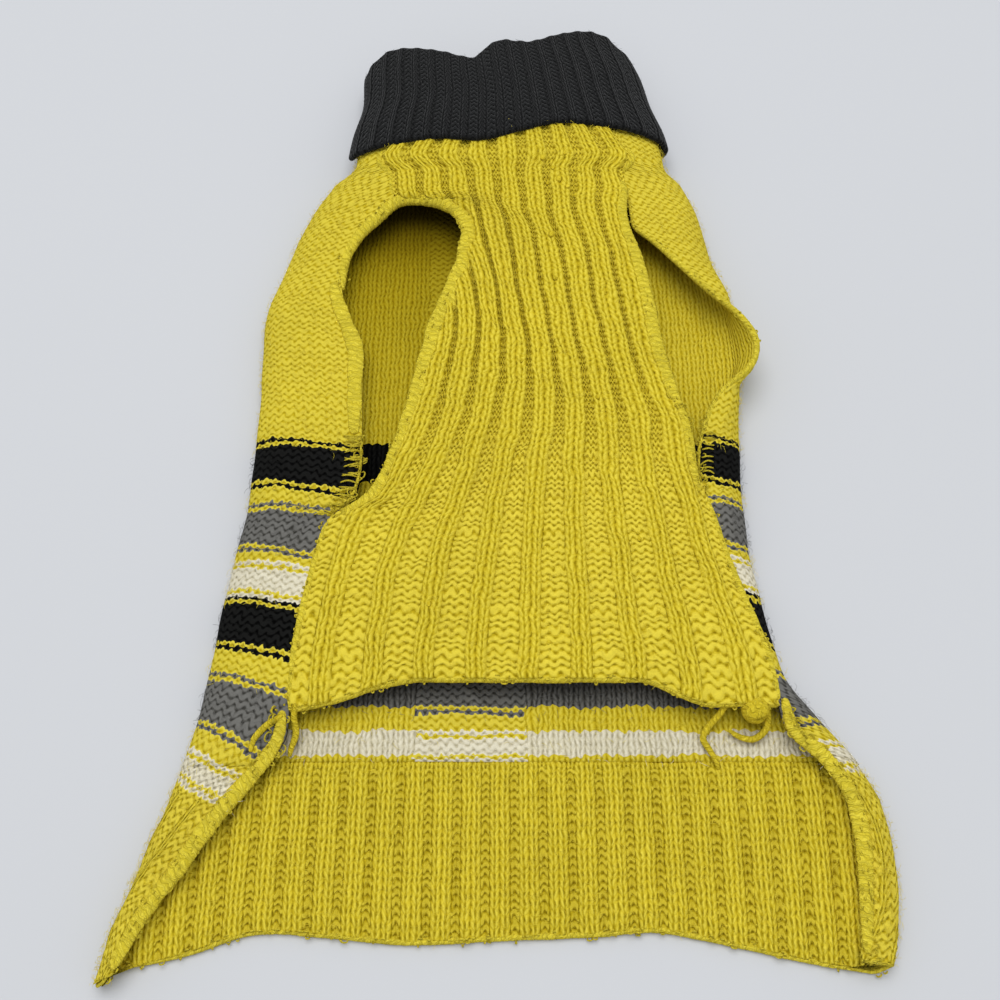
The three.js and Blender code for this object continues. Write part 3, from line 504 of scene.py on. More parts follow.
def belly_knit(wale):
    """1 on the knit ribs and 0 in the purl valleys."""
    return (away_from_rib(wale) < KNIT_RIB_HALF).astype(float)


# Stitches

KNIT_SLANT = 1.7  # rows that one leg of a stitch climbs
KNIT_STRAND = 0.3  # share of a knit stitch's height that its slanting strands make
KNIT_TOOTH = 0.8  # rows between a stripe's edge at the middle of a stitch and at its side
PURL_WAVE = 0.15  # how far a purl strand waves up and down, in rows
PURL_HALF = 0.37  # half the thickness of a purl strand, in rows
PURL_SWELL = {"mean": 0.70, "wave": 0.30}  # a purl strand stands out and dives by turns
# The dark gap between two rows of purl stitches: how far it waves and its half width, in
# rows, its depth on the slopes of the wave and what is added at its turns.
PURL_GAP = {"wave": 0.24, "half": 0.3, "depth": 0.42, "turn": 0.45}


def fraction(value):
    return value - np.floor(value)


def knit_relief(wale, course):
    """Height of plain stitches, 0 to 1: two slanting legs that meet in a V."""
    across = np.abs(fraction(wale) - 0.5)
    strand = np.sin(np.pi * fraction(course + KNIT_SLANT * across))
    return (1 - (2 * across) ** 3) * (1 - KNIT_STRAND + KNIT_STRAND * strand)


def purl_relief(wale, course):
    """Height of purl stitches, 0 to 1: wavy ropes with dark gaps between the rows."""
    wave = np.cos(2 * np.pi * wale)
    away = np.abs(fraction(course - PURL_GAP["wave"] * wave + 0.5) - 0.5) / PURL_GAP["half"]
    return 1 - np.maximum(1 - away, 0) * (PURL_GAP["depth"] + PURL_GAP["turn"] * wave ** 2)


def stray(points, seed):
    """How unevenly the stitches lie, mostly between -0.5 and 0.5."""
    return waves(points[..., 0], points[..., 1], (9, 14, 24, 39), seed)


def stitch_relief(knit, wale, course):
    return np.where(knit > 0.5, knit_relief(wale, course), purl_relief(wale, course))


# Meshes

RIM_DEPTH = 0.001  # between the two flat grids while their rims are bridged
WELD = 1e-6  # metres within which points are one


def flat_shell(top_shape, under_shape):
    """A closed flat sheet: two grids of faces joined round their rims."""
    bm = bmesh.new()
    for height, (rows, columns) in ((0, top_shape), (-RIM_DEPTH, under_shape)):
        bmesh.ops.create_grid(bm, x_segments=columns - 1, y_segments=rows - 1, size=1,
                              matrix=Matrix.Translation((0, 0, height)))
    bmesh.ops.bridge_loops(bm, edges=[edge for edge in bm.edges if edge.is_boundary])
    bmesh.ops.recalc_face_normals(bm, faces=bm.faces)
    return bm


def finish_mesh(name, bm, flip=False):
    """A new object from a bmesh, in the scene, with smooth faces that point outwards."""
    if flip:
        bmesh.ops.reverse_faces(bm, faces=bm.faces)
    mesh = bpy.data.meshes.new(name)
    bm.to_mesh(mesh)
    bm.free()
    mesh.shade_smooth()
    piece = bpy.data.objects.new(name, mesh)
    bpy.context.scene.collection.objects.link(piece)
    return piece


def set_layers(mesh, stitches, knit, painted_shade=None):
    """Give a mesh its stitch numbers as a UV map, and its named point attributes; shade is painted
    shade, 1 where none is painted.
    """
    corners = np.empty(len(mesh.loops), int)
    mesh.loops.foreach_get("vertex_index", corners)
    uv = mesh.uv_layers.new(name="stitches")
    uv.data.foreach_set("uv", stitches[corners].ravel().astype(np.float32))
    layer = mesh.attributes.new("knit", "FLOAT", "POINT")
    layer.data.foreach_set("value", np.asarray(knit, np.float32))
    layer = mesh.attributes.new("shade", "FLOAT", "POINT")
    values = np.ones(len(mesh.vertices)) if painted_shade is None else painted_shade
    layer.data.foreach_set("value", np.asarray(values, np.float32))


def placed(points):
    """Millimetres of the drawing to metres of the frame."""
    return (points - np.array([CENTRE[0], CENTRE[1], 0])) * MM


def flat_points(mesh):
    flat = np.empty(len(mesh.vertices) * 3)
    mesh.vertices.foreach_get("co", flat)
    return flat.reshape(-1, 3)


def grid_places(flat, rows, columns):
    """The row and column of each point of a flat grid that reaches from -1 to 1."""
    c = np.round((flat[:, 0] + 1) / 2 * (columns - 1)).astype(int)
    r = np.round((1 - flat[:, 1]) / 2 * (rows - 1)).astype(int)
    return r, c


def cloth_shell(name, top, under):
    """A closed piece of cloth from its two faces.

    Each face is a dict of grids: points (rows, columns, 3), wale, course and knit."""
    bm = flat_shell(top["points"].shape[:2], under["points"].shape[:2])
    mesh = bpy.data.meshes.new(name)
    bm.to_mesh(mesh)
    bm.free()
    flat = flat_points(mesh)
    is_under = flat[:, 2] < -RIM_DEPTH / 2
    values = {key: np.empty((len(flat), 3) if key == "points" else len(flat))
              for key in ("points", "wale", "course", "knit", "shade")}
    for face, chosen in ((top, ~is_under), (under, is_under)):
        rows, columns = face["points"].shape[:2]
        r, c = grid_places(flat[chosen], rows, columns)
        for key in values:
            grid = face.get(key)
            values[key][chosen] = 1 if grid is None else grid[r, c]
    mesh.vertices.foreach_set("co", placed(values["points"]).ravel())
    set_layers(mesh, np.stack([values["wale"], values["course"]], -1), values["knit"],
               values["shade"])
    bm = bmesh.new()
    bm.from_mesh(mesh)
    bpy.data.meshes.remove(mesh)
    return finish_mesh(name, bm, flip=bm.calc_volume(signed=True) < 0)


def wrapped_cloth(name, points, stitches, knit=None):
    """A closed piece from one grid of points whose edges meet or end in points."""
    rows, columns = points.shape[:2]
    bm = bmesh.new()
    bmesh.ops.create_grid(bm, x_segments=columns - 1, y_segments=rows - 1, size=1)
    mesh = bpy.data.meshes.new(name)
    bm.to_mesh(mesh)
    bm.free()
    flat = flat_points(mesh)
    r, c = grid_places(flat, rows, columns)
    mesh.vertices.foreach_set("co", placed(points[r, c]).ravel())
    set_layers(mesh, stitches[r, c], np.ones(len(r)) if knit is None else knit[r, c])
    bm = bmesh.new()
    bm.from_mesh(mesh)
    bpy.data.meshes.remove(mesh)
    bmesh.ops.remove_doubles(bm, verts=bm.verts, dist=WELD)
    links = [edge for edge in bm.edges if edge.is_wire]
    bmesh.ops.delete(bm, geom=links, context="EDGES")
    return finish_mesh(name, bm, flip=bm.calc_volume(signed=True) < 0)


def unit(vectors):
    return vectors / np.maximum(np.linalg.norm(vectors, axis=-1, keepdims=True), 1e-9)


def threads(name, lines, guide, half_width, half_height, sides, stitches=None):
    """One piece of many threads, each along its line and closed at both ends.

    lines is (count, points, 3) and guide points roughly up from each; the half sizes
    are numbers or (count, points)."""
    count, points = lines.shape[:2]
    run = unit(np.gradient(lines, axis=1))
    across = unit(np.cross(run, guide))
    up = np.cross(across, run)
    ends = np.sin(np.pi * np.linspace(0, 1, points)) ** 0.25
    ends[[0, -1]] = 0
    angle = np.linspace(0, 2 * np.pi, sides + 1)
    wide = np.broadcast_to(half_width, (count, points)) * ends
    high = np.broadcast_to(half_height, (count, points)) * ends
    rings = (lines[:, :, None] + (wide[..., None] * np.cos(angle))[..., None] * across[:, :, None]
             + (high[..., None] * np.sin(angle))[..., None] * up[:, :, None])
    rings[:, :, -1] = rings[:, :, 0]
    length = lengths_along(lines)
    turn = np.broadcast_to(angle / (2 * np.pi), (count, points, sides + 1))
    along = np.broadcast_to(length[..., None], turn.shape)
    rows = count * points
    layer = np.stack([turn, along], -1)
    if stitches is not None:
        layer = np.broadcast_to(stitches[:, None, None], layer.shape)
    return wrapped_cloth(name, rings.reshape(rows, sides + 1, 3),
                         layer.reshape(rows, sides + 1, 2))


def even_line(line, spacing):
    """A line's points again, at even spacing along it."""
    lengths = lengths_along(line)
    marks = np.linspace(0, lengths[-1], max(int(lengths[-1] / spacing), 3))
    return read_line(marks, lengths, line)


def soften(line, passes):
    """Average each inner point of a line with its neighbours."""
    line = line.copy()
    for _ in range(passes):
        line[1:-1] = (line[:-2] + 2 * line[1:-1] + line[2:]) / 4
    return line


def sewn_in(piece, node):
    """The piece rides with the sweater and stands for its solid."""
    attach(piece, "root")
    if node:
        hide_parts(node)
    return piece


# The pieces

BACK_ROWS = 178
BACK_COLUMNS = 220
TAIL_ROWS = 84
TAIL_COLUMNS = 440
UNDER_STEP = 2  # the tail's outer face has every second line of its inner face
BACK_FOLDS = [
    (-17, -86, -5, -106, 3.0, 3.2), (-60, -98, -30, -112, 9, 1.2), (12, -90, 30, -112, 8, 0.9),
    (-95, -20, -70, -60, 7, 0.8), (-104, 60, -92, 20, 6, -0.7), (-92, 150, -100, 110, 6, 0.9),
    (96, 150, 100, 100, 5, 0.8), (30, 120, 60, 60, 12, 0.9), (-60, 120, -40, 40, 10, 0.9),
]
BELLY_FOLDS = [
    (-12, 130, 2, 92, 4.5, 3.0), (-30, -13, 8, 2, 7, -2.2), (8, 6, 48, 26, 10, 2.4),
    (-46, 8, -8, 20, 8, 1.8), (34, 150, 44, 120, 6, 1.6), (20, 190, 30, 150, 6, 1.4),
    (30, -20, 44, -70, 12, 2.0), (-40, -30, -48, -80, 10, 1.6), (70, 0, 84, -60, 7, -1.2),
]


FLANK_RISE_Z = (1.0, 9.0)  # heights between which the floor's stitches become the flank's
OFF_TABLE_Z = (2.0, 6.0)  # heights between which the outer face leaves the table's flatness


def row_sag(y, arc, points):
    """How far the rows of stitches hang towards the tail, on the flanks alone."""
    flank = smooth(*FLANK_RISE_Z, points[..., 2])
    sag = np.where(arc < 0, ROW_SAG.at("left", y)[:, None], ROW_SAG.at("right", y)[:, None])
    past_fold = np.maximum(-arc + LEFT_FLANK.at("foldX", y)[:, None] - FOLD_ARC, 0)
    return sag * flank + past_fold * ROW_SAG.at("slope", y)[:, None]


def back_stitches(y, arc, points):
    """The stitch numbers at each point of the back."""
    wale = arc / STITCH
    along = points[..., 1] - hem_shift(points[..., 0], y[:, None])
    flank = smooth(*FLANK_RISE_Z, points[..., 2])
    along = blend(y[:, None], along, flank)
    course = (NECK_Y - along - row_sag(y, arc, points)) / COURSE
    return wale + 0.15 * stray(points, 13), course + 0.25 * stray(points, 14)


PURL_PANEL = (-8.0, 2.5)  # stitches at the back's middle that are purl on the face that shows
INSIDE_SHADE = Table("y left right", [
    [190, 0.06, 0.12], [165, 0.12, 0.42], [150, 0.28, 0.7], [130, 0.56, 0.92], [105, 0.7, 0.98],
    [75, 0.8, 1.02], [40, 0.88, 1.02], [0, 0.9, 1.0], [-60, 0.85, 0.85], [-86, 0.9, 0.9],
    [-100, 1, 1], [-122, 1, 1],
])


def inside_shade(points):
    """Light lost inside the sweater, less towards its right and its open ends."""
    across = smooth(-40, 60, points[..., 0])
    return blend(INSIDE_SHADE.at("left", points[..., 1]),
                 INSIDE_SHADE.at("right", points[..., 1]), across)


def back_face_knit(wale, inside):
    panel = (wale > PURL_PANEL[0]) & (wale < PURL_PANEL[1])
    return np.where(panel == inside, 0.0, 1.0)


def back_cloth():
    y = np.linspace(NECK_Y, RIB_START_Y, BACK_ROWS)
    outer, arc = back_surface(y, BACK_COLUMNS)
    normals = grid_normals(outer)
    wale, course = back_stitches(y, arc, outer)
    uneven = waves(outer[..., 0], outer[..., 1], (41, 29, 67), seed=3)
    off_table = smooth(*OFF_TABLE_Z, outer[..., 2])
    crease = folds(outer, BACK_FOLDS)
    outside = outer - normals * (off_table * (0.5 * (1 + uneven) - 0.8 * crease))[..., None]
    outside[..., 2] = np.maximum(outside[..., 2], 0)
    inside = outer + normals * (WALL + 0.35 * uneven)[..., None]
    inside[..., 2] += crease * (1 - off_table)
    under = {"points": outside, "wale": wale, "course": course,
             "knit": back_face_knit(wale, False)}
    top = {"points": inside, "wale": wale, "course": course,
           "knit": back_face_knit(wale, True), "shade": inside_shade(inside)}
    piece = cloth_shell("back_knit", top, under)
    return piece, {"outer": outer, "inside": inside, "outside": outside, "course": course,
                   "normals": normals}


TAIL_KNIT_SHARE = 1 / 3  # the knit stitches of a rib, to each side of its middle, of all
TAIL_KNIT_WIDE = 0.37  # the share of a rib's width that these take up


def tail_ribs(arc):
    """The stitch at each place across the tail, and how high its rib stands there."""
    pitch = TAIL_RIB["pitch"]
    place = arc / (pitch * TAIL_RIB["gauge"])
    part = fraction(place + 0.5) - 0.5
    size = np.abs(part)
    wide = TAIL_KNIT_WIDE
    spread = np.where(size < wide, size / wide * TAIL_KNIT_SHARE,
                      TAIL_KNIT_SHARE + (size - wide) / (0.5 - wide) * (0.5 - TAIL_KNIT_SHARE))
    wale = (np.round(place) + np.sign(part) * spread) * pitch
    height = np.sqrt(np.maximum(1 - (size / 0.5) ** 2.4, 0))
    return wale, height, spread


def tail_cloth():
    y = np.linspace(RIB_START_Y, HEM_Y, TAIL_ROWS)
    outer, arc = back_surface(y, TAIL_COLUMNS)
    normals = grid_normals(outer)
    _, course = back_stitches(y, arc, outer)
    wale, rib, spread = tail_ribs(arc)
    plain = smooth(STRIPES[-1][0] - 0.5, STRIPES[-1][0] + 2.5, course)
    ridge = rib * plain
    uneven = waves(outer[..., 0], outer[..., 1], (23, 37, 61), seed=5)
    off_table = smooth(*OFF_TABLE_Z, outer[..., 2])
    to_hem = smooth(HEM_Y + 7, HEM_Y, y)[:, None]
    out_by = off_table * (0.3 * (1 + uneven) + 1.1 * plain * (1 - rib))
    outside = outer - normals * out_by[..., None]
    outside[..., 2] = np.maximum(outside[..., 2], 0)
    lift = WALL - 0.7 + TAIL_RIB["height"] * ridge + 0.25 * uneven
    inside = outer + normals * (lift * (1 - 0.35 * to_hem))[..., None]
    knit = np.where((spread > TAIL_KNIT_SHARE) & (plain > 0.5), 0.0, 1.0)
    # Painted shade, darker in the purl valleys between the tail's ribs.
    shade = 1 - 0.28 * plain * (1 - rib)
    top = {"points": inside, "wale": wale, "course": course, "knit": knit, "shade": shade}
    pick = (slice(None), slice(None, None, UNDER_STEP))
    under = {"points": outside[pick], "wale": wale[pick], "course": course[pick],
             "knit": np.where(plain > 0.5, 1 - knit, 0.0)[pick]}
    piece = cloth_shell("tail_rib", top, under)
    return piece, {"outer": outer, "inside": inside, "outside": outside, "course": course,
                   "normals": normals}


BELLY_PER_PLACE = 4  # columns of faces to each of the panel's 55 places
BELLY_PER_COURSE = 4
BELLY_COURSE = 3.3
BELLY_UNDER_STEP = 4
RIB_STITCHES = 4  # two knit and two purl stitches from rib to rib
BELLY_STITCH_HEIGHT = 0.9


def belly_cloth():
    rows = round((NECK_Y - BELLY_HEM_Y) / BELLY_COURSE) * BELLY_PER_COURSE + 1
    y = np.linspace(NECK_Y, BELLY_HEM_Y, rows)
    columns = np.linspace(0, BELLY_WALES, BELLY_WALES * BELLY_PER_PLACE + 1)
    base, wale, place = belly_surface(y, columns)
    course = np.broadcast_to(((NECK_Y - y) / BELLY_COURSE)[:, None], wale.shape)
    stitch = (wale - BELLY_RIB["first"]) * RIB_STITCHES / BELLY_RIB["pitch"]
    stitch = stitch + 0.12 * stray(base, 11)
    course = course + 0.4 * stray(base, 12)
    normals = grid_normals(base)
    opening = BELLY_ROWS.at("open", y)[:, None]
    knit = belly_knit(wale)
    to_edge = np.minimum(wale - BELLY_ROWS.at("leftWale", y)[:, None], BELLY_WALES - wale)
    free = smooth(0.4, 2.0, to_edge)
    uneven = waves(base[..., 0], base[..., 1], (31, 53, 19), seed=7)
    rib = belly_rib(wale, opening)
    height = (rib * free + 0.3 * uneven + folds(base, BELLY_FOLDS)
              + BELLY_STITCH_HEIGHT * stitch_relief(knit, stitch, course))
    # Painted shade, darker in the closed purl valleys between the belly's ribs.
    closed = smooth(0.5, 0.1, opening)
    shade = 1 - 0.22 * closed * (1 - rib / BELLY_RIB["height"]) ** 1.5 * free
    top = {"points": base + normals * height[..., None], "wale": stitch, "course": course,
           "knit": knit, "shade": shade}
    pick = (slice(None, None, BELLY_UNDER_STEP), slice(None, None, BELLY_UNDER_STEP))
    fold = folds(base, BELLY_FOLDS)[pick]
    under_points = base[pick] + (fold[..., None] - WALL) * UP
    under = {"points": under_points, "wale": stitch[pick], "course": course[pick],
             "knit": 1 - knit[pick]}
    piece = cloth_shell("belly_rib", top, under)
    return piece, {"outer": base, "inside": top["points"], "course": course, "y": y,
                   "normals": normals}


COLLAR_PER_RIB = 8


def even_turns(count):
    """Turns that cut the collar's loop into equal lengths."""
    fine = np.linspace(0, 1, 4001)
    loop = collar_loop(COLLAR_NOMINAL_Y, fine)
    lengths = lengths_along(loop)
    return np.interp(np.linspace(0, lengths[-1], count + 1), lengths, fine)


def collar_profile(low, top, neck):
    """The collar's section: depth inside its outer face, y, and 1 on the face that shows."""
    layer = COLLAR_WALL + LAYER_GAP
    deep = layer + COLLAR_WALL
    fold = deep / 2
    crown = top - fold
    bend = np.linspace(0, np.pi, 13)[:, None]
    over = np.concatenate([fold - fold * np.cos(bend), crown + fold * np.sin(bend)], axis=1)

    def run(depth, start, end, count):
        return np.stack([np.full(count, depth), np.linspace(start, end, count)], -1)

    under_bend = np.linspace(np.pi, 0, 7)[:, None]
    gap = LAYER_GAP / 2
    back = np.concatenate([COLLAR_WALL + gap - gap * np.cos(under_bend),
                           crown + gap * np.sin(under_bend)], axis=1)
    lip = np.linspace(np.pi, 2 * np.pi, 6)[1:-1, None]
    half = COLLAR_WALL / 2
    hem = np.concatenate([half + half * np.cos(lip[::-1]), low + half * np.sin(lip[::-1])], axis=1)
    return np.concatenate([
        run(0, low, crown, 40)[:-1], over, run(deep, crown, neck, 10)[1:],
        run(layer, neck, crown, 8), back[1:-1], run(COLLAR_WALL, crown, low, 12), hem])


def collar_cloth():
    turns = even_turns(COLLAR_RIB["count"] * COLLAR_PER_RIB)
    nominal = collar_loop(COLLAR_NOMINAL_Y, turns)
    height = COLLAR_LOOP.at("height", COLLAR_NOMINAL_Y)
    front = smooth(COLLAR_FRONT["from"], COLLAR_FRONT["to"], nominal[:, 2] / height)
    low_x = collar_loop(COLLAR_BACK_LOW, turns)[:, 0]
    top_x = collar_loop(COLLAR_TOP_Y, turns)[:, 0]
    low = blend(COLLAR_BACK_LOW, COLLAR_LOW.at("y", low_x), front)
    top = COLLAR_TOP.at("y", top_x)
    rib = np.arange(len(turns)) / COLLAR_PER_RIB
    ridge = np.maximum(np.cos(2 * np.pi * rib), -0.4)
    columns = []
    for c, turn in enumerate(turns):
        section = collar_profile(low[c], top[c], NECK_Y + 0.4)
        section = np.concatenate([section, section[:1]])
        depth, y = section[:, 0], section[:, 1]
        shows = smooth(COLLAR_WALL * 1.2, 0, depth) * (0.15 + 0.85 * front[c])
        raised = COLLAR_RIB["height"] * 0.6 * ridge[c] * shows
        columns.append(collar_loop(y, turn, depth - raised))
    points = np.stack(columns, axis=1)
    rows = points.shape[0]
    along = lengths_along(points[:, 0]) / COURSE
    wale = np.broadcast_to(rib * 3 + 0.5, points.shape[:2])
    course = np.broadcast_to(along[:, None], points.shape[:2])
    knit = np.abs(fraction(rib + 0.5) - 0.5) < 0.34
    knit = np.broadcast_to(knit.astype(float), points.shape[:2])
    piece = wrapped_cloth("collar_rib", points, np.stack([wale, course], -1), knit)
    return piece, {"outer": points, "inside": points, "course": course,
                   "normals": -grid_normals(points)}


# Seams, loose yarn and fibres

FRAY_FROM_Y = 25  # the left armhole's band is worn through from here down
# Where the overlock lies bare: side, y from and to, its width and how many threads.
FRAYED = [(-1, 24, -15, 8.5, 17), (-1, 23, -14, 6.0, 9), (1, 24, 0, 6.0, 9)]

CLOTH = {}  # the faces of each piece of cloth, kept for what is sewn on them
BACK_Y = np.linspace(NECK_Y, RIB_START_Y, BACK_ROWS)
TAIL_Y = np.linspace(RIB_START_Y, HEM_Y, TAIL_ROWS)


INSET_COLUMNS = 60  # columns from an edge that an inset line may lie in


def inset(grid, side, distance):
    """For each row of a grid, the point at a distance in from its left or right edge."""
    rows = grid if side < 0 else grid[:, ::-1]
    rows = rows[:, :INSET_COLUMNS]
    return np.array([read_line(distance, lengths, row)
                     for lengths, row in zip(lengths_along(rows), rows)])


def between(y, line, high, low):
    return line[(y <= high) & (y >= low)]


def seam_lines():
    """Lines of the bound edges, each with its half width and half height."""
    back, tail, belly = CLOTH["back"], CLOTH["tail"], CLOTH["belly"]
    y = belly["y"]
    flank_y = np.concatenate([BACK_Y, TAIL_Y[1:]])
    lines = []

    def add(line, wide, high, lift=0.0, passes=4):
        line = soften(even_line(line, 0.7), passes)
        change = smooth(0.28, 0.5, np.linspace(0, 1, len(line)))
        wide = blend(*wide, change) if isinstance(wide, tuple) else np.full(len(line), wide)
        high = blend(*high, change) if isinstance(high, tuple) else np.full(len(line), high)
        lines.append((line + UP * lift, wide, high))

    def flank_line(side, distance):
        return np.concatenate([inset(back["outside"], side, distance),
                               inset(tail["outside"], side, distance)[1:]])

    def edge_middle(side):
        column = 0 if side < 0 else -1
        return np.concatenate([
            (back["outside"][:, column] + back["inside"][:, column]) / 2,
            ((tail["outside"][:, column] + tail["inside"][:, column]) / 2)[1:]])

    left, right = belly["inside"][:, 0], belly["inside"][:, -1]
    banded = inset(belly["inside"], -1, 3.6)
    rolled = left - [0, 0, WALL / 2]
    banded = blend(rolled, banded, smooth(156, 122, y)[:, None])
    around = np.concatenate([between(flank_y, edge_middle(-1), 166, 106)[::-1],
                             between(y, banded, 165, LEFT_ARMHOLE_END_Y)])
    add(around, (3.9, 4.7), (3.1, 1.6), 0.2, 260)
    add(between(y, inset(belly["inside"], 1, 3.4), 172, RIGHT_ARMHOLE_END_Y), 4.0, 1.7, 0.5, 9)
    add(between(flank_y, flank_line(-1, 3.4), 112, FRAY_FROM_Y), 3.8, 1.2, 0.3, 9)
    add(between(flank_y, edge_middle(1), 172, RIGHT_ARMHOLE_END_Y), 1.5, 1.7, 0, 12)
    add(between(flank_y, flank_line(-1, 2.6), -103, HEM_Y + 1), 3.4, 1.9, 0.2, 9)
    add(between(flank_y, flank_line(1, 2.6), -99, HEM_Y + 1), 3.4, 1.9, 0.2, 9)
    add(between(y, left, LEFT_ARMHOLE_END_Y, BELLY_HEM_Y), 1.8, 1.6, -0.9)
    add(between(y, right, RIGHT_ARMHOLE_END_Y, BELLY_HEM_Y), 1.8, 1.6, -0.9)
    add(between(y, left, NECK_Y - 20, ARMHOLE_TOP_Y), 1.6, 1.4, -0.7)
    add(between(y, right, NECK_Y - 20, 178), 1.6, 1.4, -0.7)
    hem = belly["inside"][-1] * 0.5 + (belly["outer"][-1] - [0, 0, WALL]) * 0.5
    add(hem, 1.3, 1.7, 0.0, 2)
    tail_hem = (tail["inside"][-1] + tail["outside"][-1]) / 2
    add(np.maximum(tail_hem, [-999, -999, 1.5]), 1.3, 1.5, 0.0, 1)
    add(between(flank_y, flank_line(-1, 0.8), FRAY_FROM_Y + 1, LEFT_ARMHOLE_END_Y), 0.7, 0.8, 0.1, 9)
    return lines


def crossing_threads():
    """The overlock's own threads, laid bare where they cross the black stripes."""
    picks = np.random.default_rng(55)
    lines = []
    for side, high, low, wide, count in FRAYED:
        edge = inset(CLOTH["back"]["outside"], side, 0.2)
        deep = inset(CLOTH["back"]["outside"], side, wide)
        t = np.linspace(0, 1, 14)[:, None]
        for y in np.linspace(high, low, count):
            jitter = picks.uniform(-1.6, 1.6, 3)
            ends = [read_line(-(y + jitter[k]), -BACK_Y, line)
                    for k, line in enumerate((edge, deep))]
            sway = np.array([0, jitter[2], 0]) * np.sin(np.pi * t)
            lift = UP * (0.5 + 1.1 * np.sin(np.pi * t))
            lines.append(blend(ends[0], ends[1], t) + sway + lift)
    return threads("crossing_threads", np.array(lines), UP, 0.42, 0.42, 6)


def seam_threads():
    """Bound edges: flat bands of looped thread along the cut edges and seams."""
    pieces = []
    for i, (line, wide, high) in enumerate(seam_lines()):
        picks = np.random.default_rng(40 + i)
        loops = 1 + 0.07 * picks.uniform(-1, 1, len(line))
        wobble = waves(line[:, 0], line[:, 1], (17, 29), seed=40 + i) * 0.10 + 1
        pieces.append(threads(f"bound_edge_{i + 1}", line[None], UP,
                              (wide * loops * wobble)[None], (high * loops)[None], 14))
    return pieces


def loose_loops():
    """Frayed loops of thread that stand out of the bound edges."""
    picks = np.random.default_rng(61)
    spots = [
        # line, from share, to share, loops, size, out of the edge
        (12, 0.0, 1.0, 26, 5.0), (1, 0.72, 1.0, 22, 3.6), (3, 0.80, 1.0, 26, 4.0),
        (0, 0.0, 1.0, 90, 2.2), (1, 0.0, 1.0, 50, 2.0), (3, 0.0, 0.8, 40, 1.8),
        (4, 0.0, 0.25, 20, 4.4), (4, 0.25, 1.0, 44, 2.2), (5, 0.0, 0.3, 18, 3.4),
        (5, 0.3, 1.0, 44, 2.2), (6, 0.0, 1.0, 36, 2.4), (7, 0.0, 1.0, 36, 2.2),
        (10, 0.0, 1.0, 110, 2.4), (11, 0.0, 1.0, 150, 2.4),
    ]
    seams = seam_lines()
    lines, guides = [], []
    t = np.linspace(0, 1, 9)[:, None]
    for which, start, end, count, size in spots:
        line, wide, high = seams[which]
        run = unit(np.gradient(line, axis=0))
        across = unit(np.cross(run, UP))
        up = np.cross(across, run)
        for _ in range(count):
            i = int(picks.uniform(start, end) * (len(line) - 1))
            lean = picks.uniform(-np.pi, np.pi)
            out = across[i] * np.cos(lean) + up[i] * abs(np.sin(lean))
            reach = size * picks.uniform(0.5, 1.0)
            base = (line[i] + across[i] * np.cos(lean) * wide[i] * 0.8
                    + up[i] * abs(np.sin(lean)) * high[i] * 0.8)
            width = reach * picks.uniform(0.5, 1.1)
            bend = picks.uniform(-0.4, 0.4)
            curve = (base + run[i] * width * (t - 0.5) + out * reach * 0.6 * np.sin(np.pi * t)
                     + run[i] * width * bend * np.sin(2 * np.pi * t))
            curve[:, 2] = np.maximum(curve[:, 2], 0.5)
            lines.append(curve)
            guides.append(np.cross(run[i], out))
    guide = np.array(guides)[:, None]
    return threads("loose_loops", np.array(lines), guide, 0.36, 0.36, 5)


YARN_ENDS = [
    [(99, -101, 15), (94, -99.5, 13), (90, -104, 9), (85.5, -108.5, 6), (83, -113, 5),
     (85.5, -118, 4.6), (87.5, -122, 4.4), (88.5, -126, 4.2)],
    [(107, -99, 13), (109.5, -104, 10), (108.5, -110, 7), (103.5, -113.5, 5.5),
     (98, -112.5, 5.2), (93.5, -109.5, 5.4)],
    [(-83, -101, 14), (-84, -106, 11), (-83, -112, 8.5), (-85, -118, 6), (-85.5, -121, 5)],
    [(-88, -106, 14), (-94, -110, 13.5), (-99, -116, 13), (-100, -121, 12.6)],
]
KNOT = {"place": (104.0, -103.5, 12.5), "radius": 4.1, "rings": 10, "thread": 1.7}


def yarn_ends():
    """The knotted yarn at the belly panel's corner and the loose ends."""
    lines = []
    for points in YARN_ENDS:
        points = np.array([points], float)
        line = through_points(points, np.linspace(0, 1, 60))[0]
        lines.append(even_line(line, 0.4))
    count = max(len(line) for line in lines)
    even = [read_line(np.linspace(0, 1, count), np.linspace(0, 1, len(line)), line)
            for line in lines]
    ends = threads("yarn_ends", np.array(even), UP, 1.45, 1.3, 10)
    picks = np.random.default_rng(71)
    turn = np.linspace(0, 2 * np.pi, 40)[None, :, None]
    normals = unit(picks.normal(size=(KNOT["rings"], 3)))[:, None]
    side = unit(np.cross(normals, [0.3, 0.5, 0.8]))
    other = np.cross(normals, side)
    rings = (np.array(KNOT["place"]) + KNOT["radius"] * (side * np.cos(turn) + other * np.sin(turn)))
    knot = threads("yarn_knot", rings, normals, KNOT["thread"], KNOT["thread"], 8)
    return [ends, knot]


def nearest_on(grid, x, y):
    away = (grid[..., 0] - x) ** 2 + (grid[..., 1] - y) ** 2
    return grid[np.unravel_index(np.argmin(away), away.shape)]


PILLS = [
    (22, 182, 1.3), (27, 176, 1.0), (30, 170, 1.5), (34, 165, 1.1), (38, 160, 1.2), (24, 168, 0.9),
    (25, 134, 1.4), (27, 108, 1.3), (12, 150, 0.9), (-4, 178, 0.9), (33, 186, 1.1), (40, 176, 0.8),
    (44, 40, 1.0), (10, 60, 0.8), (60, -30, 0.9), (-30, -60, 0.9), (20, -76, 0.9), (70, -70, 0.8),
]


